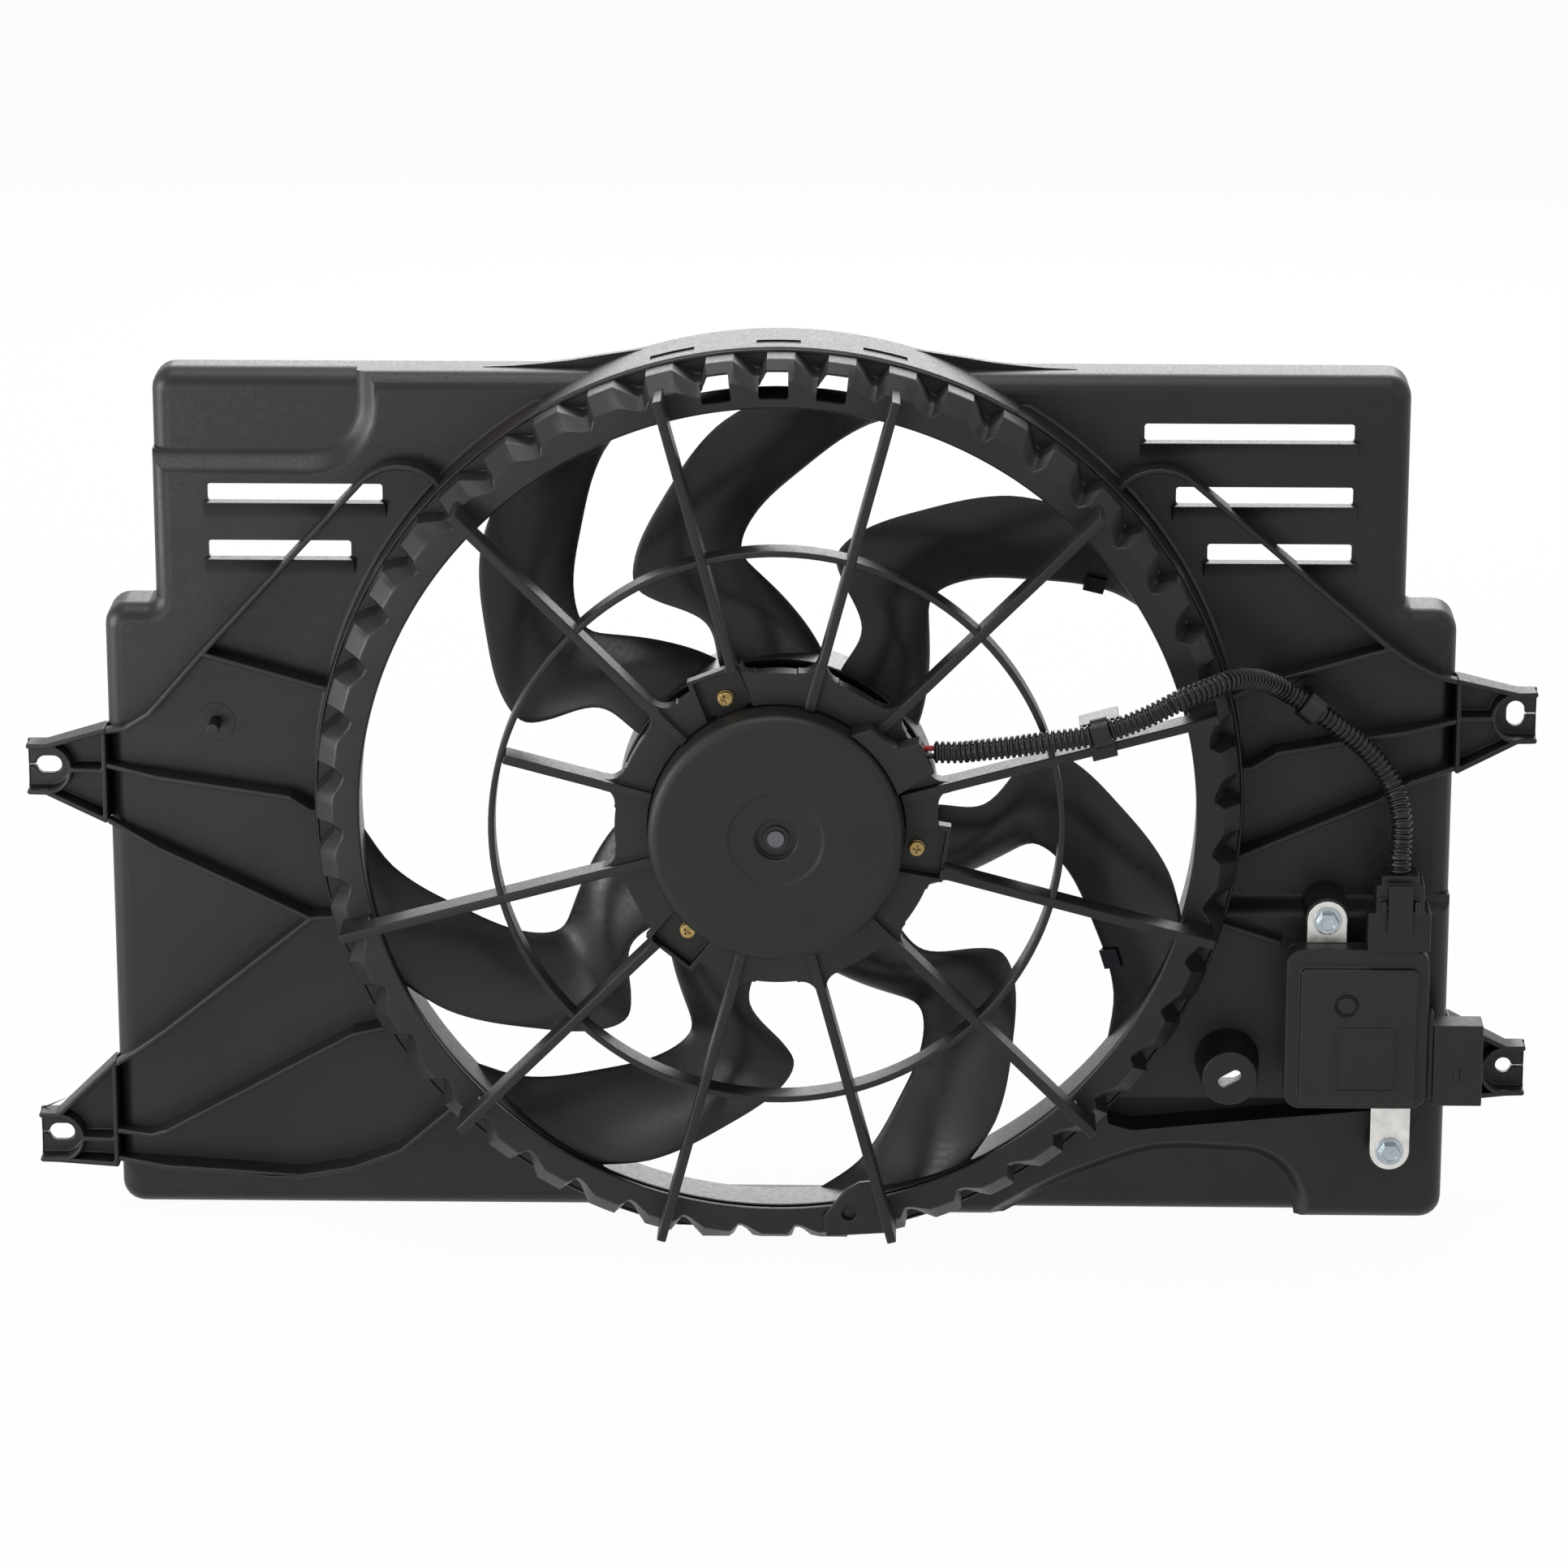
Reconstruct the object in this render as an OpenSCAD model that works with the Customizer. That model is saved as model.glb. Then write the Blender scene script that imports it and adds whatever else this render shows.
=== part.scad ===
// Radiator cooling fan of a car, seen from its motor side.
// The fan turns about the Y axis, the radiator lies towards +Y and Z is up.
// The rim that meets the radiator lies in the plane y = 0.
// A depth called front, face or floor is measured from that rim towards -Y.

/* [Shroud pan] */
// Half width of the pan below its shoulders
lower_half_w = 326; // [300:1:350]
// Width of each shoulder
shoulder_w = 25; // [20:1:30]
// Height of the top wall over the top of the fan opening
top_margin = 5; // [3:1:8]
// Distance of the bottom wall below the collar of the barrel
bottom_margin = 2; // [2:1:10]
// Height of the shoulders above the fan axis
shoulder_z = 90; // [86:1:100]
// Distance from the rim to the face of the pan
pan_depth = 28; // [24:1:32]
// Thickness of the moulded walls
wall = 2.5; // [2:0.1:3]
// Radius of the pan corners
corner_r = 10; // [6:1:14]
// Depth of the pocket in the top left corner, below the face
pocket_drop = 8; // [4:1:12]
// Width of that pocket
pocket_w = 104; // [90:1:108]
// Height of that pocket
pocket_h = 44; // [36:1:48]
// Rise of the module platform above the face
platform_rise = 10; // [6:1:12]
// Height of the top edge of the platform above the bottom wall
platform_h = 160; // [156:1:166]
// Depth of the trench under the module, from the rim
trench_floor = 18; // [12:1:22]

/* [Vent slots] */
// Height of each slot
vent_h = 8.5; // [6:0.5:10]
// Distance between the slots of a column
vent_pitch = 28; // [24:1:32]
// Slope height of the lip under each slot
lip_h = 8.5; // [5:0.5:10]
// How far the lip stands forward
lip_out = 5; // [3:0.5:7]

/* [Fan barrel] */
// Inner radius of the barrel
barrel_r = 200; // [198:0.5:202]
// Distance from the rim to the front of the barrel lip
barrel_front = 75; // [72:1:78]
// Distance from the rim to the front of the collar
collar_front = 50; // [44:1:54]
// Number of saw teeth round the barrel
teeth = 48; // [36:6:60]
// Distance from the opening to the roots of the saw teeth
tooth_base = 7; // [6:0.5:9]
// Height of the saw teeth
tooth_h = 6; // [4:0.5:7]
// Distance from the crests of the saw teeth to the edge of the collar
collar_w = 3; // [2.5:0.5:6]
// Distance from the edge of the collar to the outside of the arch
arch_w = 8; // [6:0.5:11]
// Distance from the rim to the back of the arch
arch_back = 9; // [8:0.5:10]
// Half angle of the arch
arch_half = 30.5; // [29:0.5:32]

/* [Stator] */
// Distance from the rim to the front of the arms
stator_front = 98; // [95:1:101]
// Depth of the arms and of the middle ring
arm_depth = 15; // [10:1:18]
// Width of an arm
arm_w = 4.5; // [3:0.5:6]
// Outer radius of the middle ring as a share of the radius of the opening
mid_ring_share = 0.685; // [0.6:0.005:0.75]
// Width of the middle ring
mid_ring_w = 3; // [2:0.5:4]
// Outer radius of the motor flange
flange_r = 77; // [76:1:80]
// Distance of the motor screws from the fan axis
screw_circle_r = 67.5; // [67:0.5:68]

/* [Motor] */
// Radius of the motor can
can_r = 58; // [56:0.5:58.5]
// Radius of the end cap
cap_r = 60.7; // [60:0.1:60.9]
// Distance from the rim to the front of the end cap
cap_front = 113; // [111:1:118]
// Distance from the rim to the front edge of the can
can_front = 94; // [93.5:0.5:94.5]
// Distance from the rim to the back of the can
can_back = 58; // [56:0.5:60]
// Thickness of the can sheet
can_wall = 2; // [1.5:0.1:2.2]
// Radius of the hole in the end cap
cap_hole_r = 10; // [8:0.5:10.5]
// Radius of the shaft
shaft_r = 4; // [3.5:0.1:4.5]
// Outer radius of both bearings
bearing_r = 11; // [10.8:0.1:11.5]
// Width of both bearings
bearing_w = 7; // [6:0.5:7]
// Radius of the armature core
core_r = 47.5; // [44:0.5:47.5]
// Gap between core and magnets
air_gap = 1; // [0.8:0.1:1.5]

/* [Fan] */
// Outer radius of the hub
hub_r = 77; // [76:0.5:78]
// Distance from the rim to the back of the hub
hub_back = 37; // [36:0.5:38]
// Distance from the rim to the front edge of the hub
hub_front = 68; // [66:0.5:70]
// Running clearance between the tip ring and the saw-tooth wall
tip_gap = 1.2; // [1:0.1:2]
// Thickness of the tip ring
ring_w = 2; // [1.5:0.5:2.5]
// Length of the tip ring along the axis
ring_len = 24; // [22:1:25]
// Thickness of a blade at its middle
blade_t = 2.8; // [2.2:0.1:3.4]

/* [Ears] */
// Distance of the mounting holes outside the pan wall
ear_reach = 29.5; // [27:0.5:34]
// Distance of the ear end beyond its hole
ear_end = 10; // [9:0.5:12]
// Half height of the end of an ear
ear_half = 12.8; // [12:0.1:15]
// Height of the left upper ear hole
left_upper_z = 8; // [4:1:12]
// Height of the left lower ear hole above the bottom wall
left_lower_h = 36; // [32:1:40]
// Height of the right upper ear hole
right_upper_z = 38; // [34:1:42]
// Height of the right lower ear hole above the bottom wall
right_lower_h = 76; // [72:1:80]
// Length of the mounting slots
slot_l = 12.4; // [11:0.2:14]
// Width of the mounting slots
slot_w = 8.7; // [8:0.1:9.5]
// Diameter of the round mounting hole
hole_d = 7.7; // [6.4:0.1:8.5]
// Distance from the rim to the back of the ear plates
ear_back = 18; // [14:1:20]
// Thickness of the ear plates
ear_t = 4; // [3:0.5:6]
// Distance from the rim to the front of an ear at its end
ear_front = 30.5; // [30:0.5:34]
// Height of the ribs above the face
rib_h = 14; // [10:1:16]
// Height of the ribs above the face where they meet the side walls
rib_h_wall = 6; // [4:1:10]
// Thickness of the ribs
rib_t = 2.5; // [2:0.1:3]

/* [Module] */
// Width of the module cover
module_w = 69; // [66:1:69]
// Height of the module cover
module_h = 81; // [78:1:82]
// Distance of the middle of the module from the right wall
module_in = 46.5; // [46:0.5:48]
// Height of the middle of the module above the bottom wall
module_up = 110.5; // [110:0.5:112]
// Distance from the rim to the back of the steel bracket
bracket_back = 56; // [54:1:58]
// Thickness of the steel bracket
bracket_t = 2; // [1.5:0.1:2.5]
// Height of the cover's side walls
cover_h = 12; // [10:0.5:14]
// Height of the raised field on the cover
field_h = 3; // [2:0.5:4]
// Thickness of the cover
cover_wall = 2; // [1.5:0.1:2.5]
// Radius of the bracket bolts
bolt_r = 3; // [2.5:0.1:3.2]

/* [Harness] */
// Outer radius of the corrugated conduit
conduit_r = 5.3; // [4.5:0.1:5.5]
// Width of the motor plug at its skirt
plug_w = 30; // [28:0.5:32]
// Depth of the motor plug from front to back
plug_d = 20; // [19:0.5:21]
// Radius of each lead wire
wire_r = 1.3; // [1:0.1:1.5]

/* [Hidden] */

$fn = 96;
fit = 0.3;
seat = 0.1;
run = 0.05;
cut = 1;
big = 900;

// A point at a radius and an angle counted anticlockwise from +X, seen from the front.
function polar(r, a) = [r * cos(a), r * sin(a)];

// The radii of the barrel and the fan, from the opening outwards and inwards.
tooth_root_r = barrel_r + tooth_base;
tooth_crest_r = tooth_root_r + tooth_h;
collar_r = tooth_crest_r + collar_w;
arch_r = collar_r + arch_w;
ring_r = barrel_r + tooth_base - wall - tip_gap;
mid_ring_r = mid_ring_share * barrel_r;

// The walls of the pan, and places counted from its right and bottom walls.
upper_half_w = lower_half_w - shoulder_w;
top_z = barrel_r + top_margin;
bottom_z = collar_r + bottom_margin;
platform_top = bottom_z - platform_h;
function from_corner(x, z) = [lower_half_w - x, z - bottom_z];
module_x = lower_half_w - module_in;
module_z = bottom_z - module_up;
left_lower_z = bottom_z - left_lower_h;
right_lower_z = bottom_z - right_lower_h;

// Levels of the shroud.
platform_face = pan_depth + platform_rise;
pocket_face = pan_depth - pocket_drop;
rib_front = pan_depth + rib_h;
arm_back = stator_front - arm_depth;

// Turns a flat drawing, x to the right and y up, into a solid between two depths.
module forward(from, to) {
    translate([0, -from, 0]) rotate([90, 0, 0]) linear_extrude(to - from) children();
}

// Turns a profile of radius and depth about the fan axis.
module turned(sides = 180) {
    rotate([90, 0, 0]) rotate_extrude($fn = sides) children();
}

// A turned tube between two depths.
module tube(from, to, outer, inner) {
    forward(from, to) difference() {
        circle(outer, $fn = 180);
        if (inner > 0) circle(inner, $fn = 180);
    }
}

module box(x0, x1, from, to, z0, z1) {
    translate([x0, -to, z0]) cube([x1 - x0, to - from, z1 - z0]);
}

// A flat rectangle with round corners.
module rounded(x0, x1, z0, z1, r) {
    translate([x0 + r, z0]) square([x1 - x0 - 2 * r, z1 - z0]);
    translate([x0, z0 + r]) square([x1 - x0, z1 - z0 - 2 * r]);
    for (x = [x0 + r, x1 - r], z = [z0 + r, z1 - r]) translate([x, z]) circle(r, $fn = 48);
}

// A flat band of one width along a chain of points, with round joints.
module stroke(points, w) {
    for (i = [0 : len(points) - 2]) {
        a = points[i];
        b = points[i + 1];
        n = [a[1] - b[1], b[0] - a[0]] / norm(b - a) * w / 2;
        polygon([a + n, a - n, b - n, b + n]);
    }
    for (p = points) translate(p) circle(w / 2, $fn = 24);
}

// The part of a disc between two angles.
module sector(r, a0, a1) {
    reach = r / cos((a1 - a0) / 4) + cut;
    intersection() {
        circle(r, $fn = 180);
        polygon([[0, 0], polar(reach, a0), polar(reach, (3 * a0 + a1) / 4),
            polar(reach, (a0 + a1) / 2), polar(reach, (a0 + 3 * a1) / 4), polar(reach, a1)]);
    }
}

// An oblong hole of two round ends.
module oblong(length, width) {
    square([length - width, width], center = true);
    for (s = [-1, 1]) translate([s * (length - width) / 2, 0]) circle(width / 2, $fn = 48);
}

// Shroud pan

module pan_outline(inset = 0) {
    r = corner_r - inset;
    rounded(-upper_half_w + inset, upper_half_w - inset, -bottom_z + inset, top_z - inset, r);
    rounded(-lower_half_w + inset, lower_half_w - inset, -bottom_z + inset,
        shoulder_z - inset, r);
}

// Everything that the barrel and its arch take out of the pan.
module barrel_outline(grow = 0) {
    circle(collar_r + grow, $fn = 180);
    sector(arch_r + grow, 90 - arch_half, 90 + arch_half);
}

// The soft step at the lower right, which keeps the platform level round the module.
contour = [from_corner(64, -cut), from_corner(65, 27), from_corner(75, 39),
    from_corner(135, 41), from_corner(151, 38), from_corner(190, 22), from_corner(226, 5),
    from_corner(236, -cut)];

module platform_area(inset = 0) {
    intersection() {
        pan_outline(inset);
        difference() {
            translate([0, -bottom_z]) square([lower_half_w, bottom_z - platform_top - inset]);
            offset_contour(inset);
        }
    }
}

// The contour moved up and outwards by a wall, as a plain polygon.
module offset_contour(grow) {
    polygon([for (i = [0 : len(contour) - 1]) contour[i]
        + [i < 3 ? grow : -grow, i == 0 || i == 7 ? 0 : grow]]);
}

module trench_area(grow = 0) {
    polygon([from_corner(165 + grow, 64 + grow), from_corner(30 - grow, 64 + grow),
        from_corner(32 - grow, 58 - grow), from_corner(87, 53 - grow),
        from_corner(153, 46.5 - grow), from_corner(165 + grow, 50 - grow)]);
}

module pocket_area(grow = 0) {
    x0 = -upper_half_w - cut;
    x1 = -upper_half_w + pocket_w + grow;
    z0 = top_z - pocket_h + -grow;
    r = 28 + grow;
    translate([x0, z0 + r]) square([x1 - x0, top_z + cut - z0 - r]);
    translate([x0, z0]) square([x1 - x0 - r, r + cut]);
    translate([x1 - r, z0 + r]) circle(r, $fn = 96);
}

// Each vent is its left end, its right end and its top edge.
vent_end = upper_half_w - 27;
left_vents = [[-vent_end, 84 - vent_end, top_z - 54],
    [-vent_end, 68.5 - vent_end, top_z - 54 - vent_pitch]];
right_vents = [[vent_end - 100, vent_end, top_z - 22.5],
    [vent_end - 84.5, vent_end, top_z - 25.5 - vent_pitch],
    [vent_end - 69, vent_end, top_z - 25.5 - 2 * vent_pitch]];
vents = concat(left_vents, right_vents);

module vent_lip(v) {
    x0 = min(v[0], v[1]);
    x1 = max(v[0], v[1]);
    z = v[2] - vent_h;
    translate([x0 - 2, 0, 0]) rotate([90, 0, 90]) linear_extrude(x1 - x0 + 4)
        polygon([[-pan_depth + wall, z], [-pan_depth - lip_out, z],
            [-pan_depth, z - lip_h], [-pan_depth + wall, z - lip_h]]);
}

spare_boss = from_corner(107, 84);
spare_boss_front = 67;
top_bolt = from_corner(61, 162);
low_bolt = from_corner(28, 44);
bolt_boss_r = 10.5;
insert_r = 4.2;
nub = [53 - lower_half_w, 32];

module bolt_boss(at, from) {
    translate([at[0], 0, at[1]]) forward(from, bracket_back) difference() {
        circle(bolt_boss_r, $fn = 72);
        circle(insert_r, $fn = 48);
    }
}

module pan_outer() {
    forward(0, pan_depth) pan_outline();
    forward(pan_depth - wall, platform_face) platform_area();
}

module pan_hollow() {
    forward(-cut, pan_depth - wall) pan_outline(wall);
    forward(pan_depth - wall - cut, platform_face - wall) platform_area(wall);
}

module shroud_panel() {
    color("#2b2a29") difference() {
        union() {
            difference() {
                pan_outer();
                difference() {
                    pan_hollow();
                    forward(pocket_face - wall, big) pocket_area(wall);
                    forward(trench_floor - wall, big) trench_area(wall);
                }
                forward(pocket_face, big) pocket_area();
                forward(trench_floor, big) trench_area();
            }
            for (v = vents) vent_lip(v);
            translate([spare_boss[0], -platform_face + wall, spare_boss[1]])
                rotate([90, 0, 0]) cylinder(spare_boss_front - platform_face + wall,
                    15.9, 13.6, $fn = 96);
            bolt_boss(top_bolt, pan_depth - wall);
            bolt_boss(low_bolt, platform_face - wall);
            translate([nub[0], 0, nub[1]]) forward(pan_depth - wall, pan_depth + 14)
                circle(2.8, $fn = 32);
        }
        forward(arch_back, big) barrel_outline();
        for (v = vents) forward(-cut, pan_depth + lip_out + cut)
            rounded(min(v[0], v[1]), max(v[0], v[1]), v[2] - vent_h, v[2], 1.5);
        translate([spare_boss[0], 0, spare_boss[1]]) {
            forward(-cut, spare_boss_front - wall) circle(11, $fn = 72);
            forward(0, spare_boss_front + cut) rotate(30) oblong(12, 5.5);
        }
        for (b = [top_bolt, low_bolt]) translate([b[0], 0, b[1]])
            forward(-cut, big) circle(insert_r, $fn = 48);
    }
}

// Fan barrel

tooth_pitch = 360 / teeth;
tooth_phase = 2.8;

module tooth_outline(inset = 0) {
    polygon([for (i = [0 : teeth - 1])
        let (a = tooth_phase + i * tooth_pitch)
        each [polar(tooth_root_r - inset, a), polar(tooth_crest_r - inset, a + 0.35 * tooth_pitch),
            polar(tooth_crest_r - inset, a + 0.8 * tooth_pitch),
            polar(tooth_root_r - inset, a + 0.92 * tooth_pitch)]]);
}

arch_plate = 3.5;
wing = [[60, 0], [60, 9.5], [88, 5.5], [101, 3.3], [114, 1.8], [128, 0.6], [142, 0]];

// The plate that closes the arch at its back, with a wing down to the pan's top on each side.
module arch_end() {
    intersection() {
        sector(arch_r, 90 - arch_half, 90 + arch_half);
        translate([-arch_r, top_z - wall]) square([2 * arch_r, arch_r]);
    }
    for (s = [-1, 1]) polygon([for (p = wing) [s * p[0], top_z + p[1]]]);
}

module fan_barrel() {
    color("#302f2e") difference() {
        union() {
            forward(barrel_front - wall, barrel_front) difference() {
                tooth_outline();
                circle(barrel_r, $fn = 180);
            }
            forward(collar_front - wall, barrel_front) difference() {
                tooth_outline();
                tooth_outline(wall);
            }
            forward(collar_front - wall, collar_front) difference() {
                barrel_outline();
                tooth_outline(wall / 2);
            }
            forward(pan_depth - wall, collar_front) difference() {
                circle(collar_r, $fn = 180);
                circle(collar_r - wall, $fn = 180);
                sector(arch_r, 90 - arch_half, 90 + arch_half);
            }
            forward(arch_back, collar_front) difference() {
                sector(arch_r, 90 - arch_half, 90 + arch_half);
                circle(arch_r - wall, $fn = 180);
            }
            forward(arch_back, arch_back + arch_plate) arch_end();
            for (s = [-1, 1]) forward(arch_back, collar_front) intersection() {
                difference() {
                    circle(arch_r, $fn = 180);
                    circle(collar_r - wall, $fn = 180);
                }
                rotate(90 + s * arch_half) translate([0, s > 0 ? -wall : 0])
                    square([big, wall]);
            }
        }
        for (k = [-1 : 1]) rotate([0, 90 - 0.5 - k * tooth_pitch - 90, 0])
            box(-7, 7, barrel_front - wall - cut, barrel_front + cut,
                tooth_root_r - 3.5, tooth_crest_r + cut);
        for (x = [-50.5, 0, 50.5]) box(x - 10.5, x + 10.5, 34, 42, collar_r - 12, big);
    }
}

// Stator

arm_step = 30;
short_arm = 165;
foot_r = tooth_crest_r + fit;
foot_out = collar_r;
screw_angles = [111, 231, 351];
flange_face = stator_front - 4;
flange_hole_r = cap_r + 0.6;
web_r = 8;
web_out = flange_r + web_r;
pocket_floor = can_front - 6;

// One arm, drawn from the side as radius and depth: across the opening, over the barrel
// and down behind the teeth to the collar.
module arm(a) {
    inner = [[web_out - 3, stator_front], [web_out - 3, arm_back]];
    foot = [[barrel_r + 2, arm_back], [barrel_r + 2, barrel_front], [foot_r, barrel_front],
        [foot_r, collar_front], [foot_out, collar_front], [foot_out, stator_front]];
    end = a == short_arm ? [[mid_ring_r - mid_ring_w, arm_back],
        [mid_ring_r - mid_ring_w, stator_front]] : foot;
    rotate([0, -a, 0]) translate([0, 0, -arm_w / 2]) linear_extrude(arm_w)
        polygon([for (p = concat(inner, end)) [p[0], -p[1]]]);
}

arm_angles = [for (k = [0 : 11]) arm_step / 2 + k * arm_step];

// The block round each motor screw's pocket, and what lies in front of it.
module screw_blocks(to) {
    for (a = screw_angles) rotate([0, -a, 0])
        box(flange_hole_r - 2, flange_r + 5, pocket_floor - 2, to, -14, 14);
}

// Round fillets on both sides of an arm where it runs into the flange.
web_steps = [0 : 15 : 90];
web_side = [for (t = web_steps) [web_out - web_r * sin(t), arm_w / 2 + web_r * (1 - cos(t))]];
web = concat([for (p = web_side) p], [[flange_r - 1.6, web_side[6][1]],
    [flange_r - 1.6, -web_side[6][1]]], [for (i = [6 : -1 : 0]) [web_side[i][0], -web_side[i][1]]]);

module stator_arms() {
    color("#2d2c2b") difference() {
        for (a = arm_angles) arm(a);
        forward(0, big) circle(web_out, $fn = 180);
    }
}

module stator_ring() {
    color("#2d2c2b") difference() {
        tube(arm_back + 0.5, stator_front - 0.5, mid_ring_r, mid_ring_r - mid_ring_w);
        for (a = arm_angles) if (a != short_arm) arm(a);
    }
}

module motor_flange() {
    color("#2d2c2b") difference() {
        union() {
            turned() polygon([[flange_hole_r, flange_face], [flange_r, flange_face],
                [flange_r, arm_back + 1.2], [flange_r - wall, arm_back + 1.2],
                [flange_r - wall, flange_face - 3], [flange_hole_r, flange_face - 3]]);
            forward(flange_face - cut, stator_front) intersection() {
                circle(web_out, $fn = 180);
                for (a = arm_angles) rotate(a) translate([flange_hole_r - 2, -arm_w / 2])
                    square([web_out, arm_w]);
            }
            forward(arm_back, flange_face) intersection() {
                circle(web_out, $fn = 180);
                for (a = arm_angles) rotate(a) translate([flange_r - 1.6, -arm_w / 2])
                    square([web_out, arm_w]);
            }
            forward(arm_back + 1.2, flange_face) for (a = arm_angles) rotate(a) polygon(web);
            screw_blocks(flange_face - 0.6);
        }
        for (a = screw_angles) rotate([0, -a, 0]) {
            box(flange_hole_r - 4, flange_r + 3, pocket_floor, stator_front + cut, -11.5, 11.5);
            translate([screw_circle_r, 0, 0]) forward(0, big) circle(2.7, $fn = 48);
        }
        forward(0, big) circle(flange_hole_r, $fn = 180);
    }
}

tab_hole = [35, -1 - barrel_r];

module cable_tab() {
    color("#2d2c2b") difference() {
        translate([0, 0, -barrel_r]) forward(barrel_front, barrel_front + 3)
            polygon([[24, -13], [22, -3], [33, 11], [40, 15], [50, 16], [55, -11]]);
        translate([tab_hole[0], 0, tab_hole[1]]) forward(0, big) circle(3.4, $fn = 48);
        for (a = arm_angles) arm(a);
    }
}

// Ribs of the pan and the four ears

hook_angle = 142.8;
hook_gap = 11.5;
hook_r = 25;
rib_slope_run = 25;

// The arc with which the upper rib of each side runs round to its arm.
function hook(side) = let (c = polar(collar_r + hook_gap, hook_angle))
    [for (a = [135 : -14.375 : 20]) [-side * (c[0] + hook_r * cos(a)), c[1] + hook_r * sin(a)]];

function on_collar(a) = polar(collar_r - 0.4, a);
function at_wall(side, z) = [side * lower_half_w, z];

// A place on the pan at a distance inside the left or right wall.
function inside(side, x, z) = [side * (lower_half_w - x), z];

left_fork = inside(-1, 48.5, 69.5);
right_fork = inside(1, 33, 75);
low_fork = inside(-1, 98.5, -64);
low_ear_z = -left_lower_z;
left_hook = [concat([at_wall(-1, left_upper_z + 20.2), inside(-1, 10, 30.5), inside(-1, 22, 39),
    left_fork],
    hook(-1)), [left_fork, inside(-1, 102, 54), on_collar(166.5)]];
right_hook = [concat([at_wall(1, right_upper_z + 18.8), inside(1, 11, 60.5), inside(1, 23, 68),
    right_fork],
    hook(1)), [right_fork, inside(1, 88, 59), on_collar(12.8)]];
plain_ribs = [
    [at_wall(-1, left_upper_z + 3), inside(-1, 89, -2.5), inside(-1, 99, -9),
        on_collar(182.8)],
    [at_wall(-1, left_upper_z - 24.8), low_fork, on_collar(196.8)],
    [at_wall(-1, low_ear_z + 39.8), inside(-1, 10, low_ear_z + 46.8), low_fork],
    [at_wall(-1, low_ear_z + 5), inside(-1, 17, low_ear_z + 4.5),
        inside(-1, 25, low_ear_z + 7.5), inside(-1, 118, low_ear_z + 58.5),
        inside(-1, 129, low_ear_z + 61), on_collar(213)],
    [at_wall(-1, low_ear_z - 9.5), inside(-1, 57, low_ear_z - 13),
        inside(-1, 90, low_ear_z - 15.5), inside(-1, 116, low_ear_z - 11),
        inside(-1, 140, low_ear_z - 2), on_collar(225.5)],
    [at_wall(1, right_upper_z - 1), inside(1, 51, 29), inside(1, 86, 22.5),
        inside(1, 98, 15), on_collar(3.7)],
    [at_wall(1, 13.5), inside(1, 21, 8), inside(1, 37, -1), on_collar(-9)]];

// What is cut off in front, so that the ribs fall towards the side walls and the ears' ends.
module rib_slope() {
    rise = (rib_h - rib_h_wall) / rib_slope_run;
    wall_front = pan_depth + rib_h_wall;
    end = lower_half_w + ear_reach + ear_end + 2;
    start = lower_half_w - rib_slope_run - 6;
    for (s = [-1, 1]) mirror([s < 0 ? 1 : 0, 0, 0]) translate([0, 0, -bottom_z])
        linear_extrude(bottom_z + top_z)
        polygon([[start, -wall_front - rise * (rib_slope_run + 6)], [lower_half_w, -wall_front],
            [end, -ear_front], [end, -big], [start, -big]]);
}

// Ribs along some paths, standing on the face between the collar and the walls.
module ribs(paths) {
    color("#2f2e2d") difference() {
        forward(pan_depth, rib_front) intersection() {
            for (p = paths) stroke(p, rib_t);
            pan_outline();
        }
        forward(0, big) barrel_outline();
        for (v = vents) vent_lip(v);
        rib_slope();
    }
}

module hook_rib_left() { ribs(left_hook); }
module hook_rib_right() { ribs(right_hook); }

module panel_ribs() {
    ribs(plain_ribs);
    color("#2f2e2d") difference() {
        forward(platform_face, platform_face + 8)
            stroke([on_collar(-16.2), from_corner(83, 146)], rib_t);
        forward(0, big) barrel_outline();
    }
}

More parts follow.
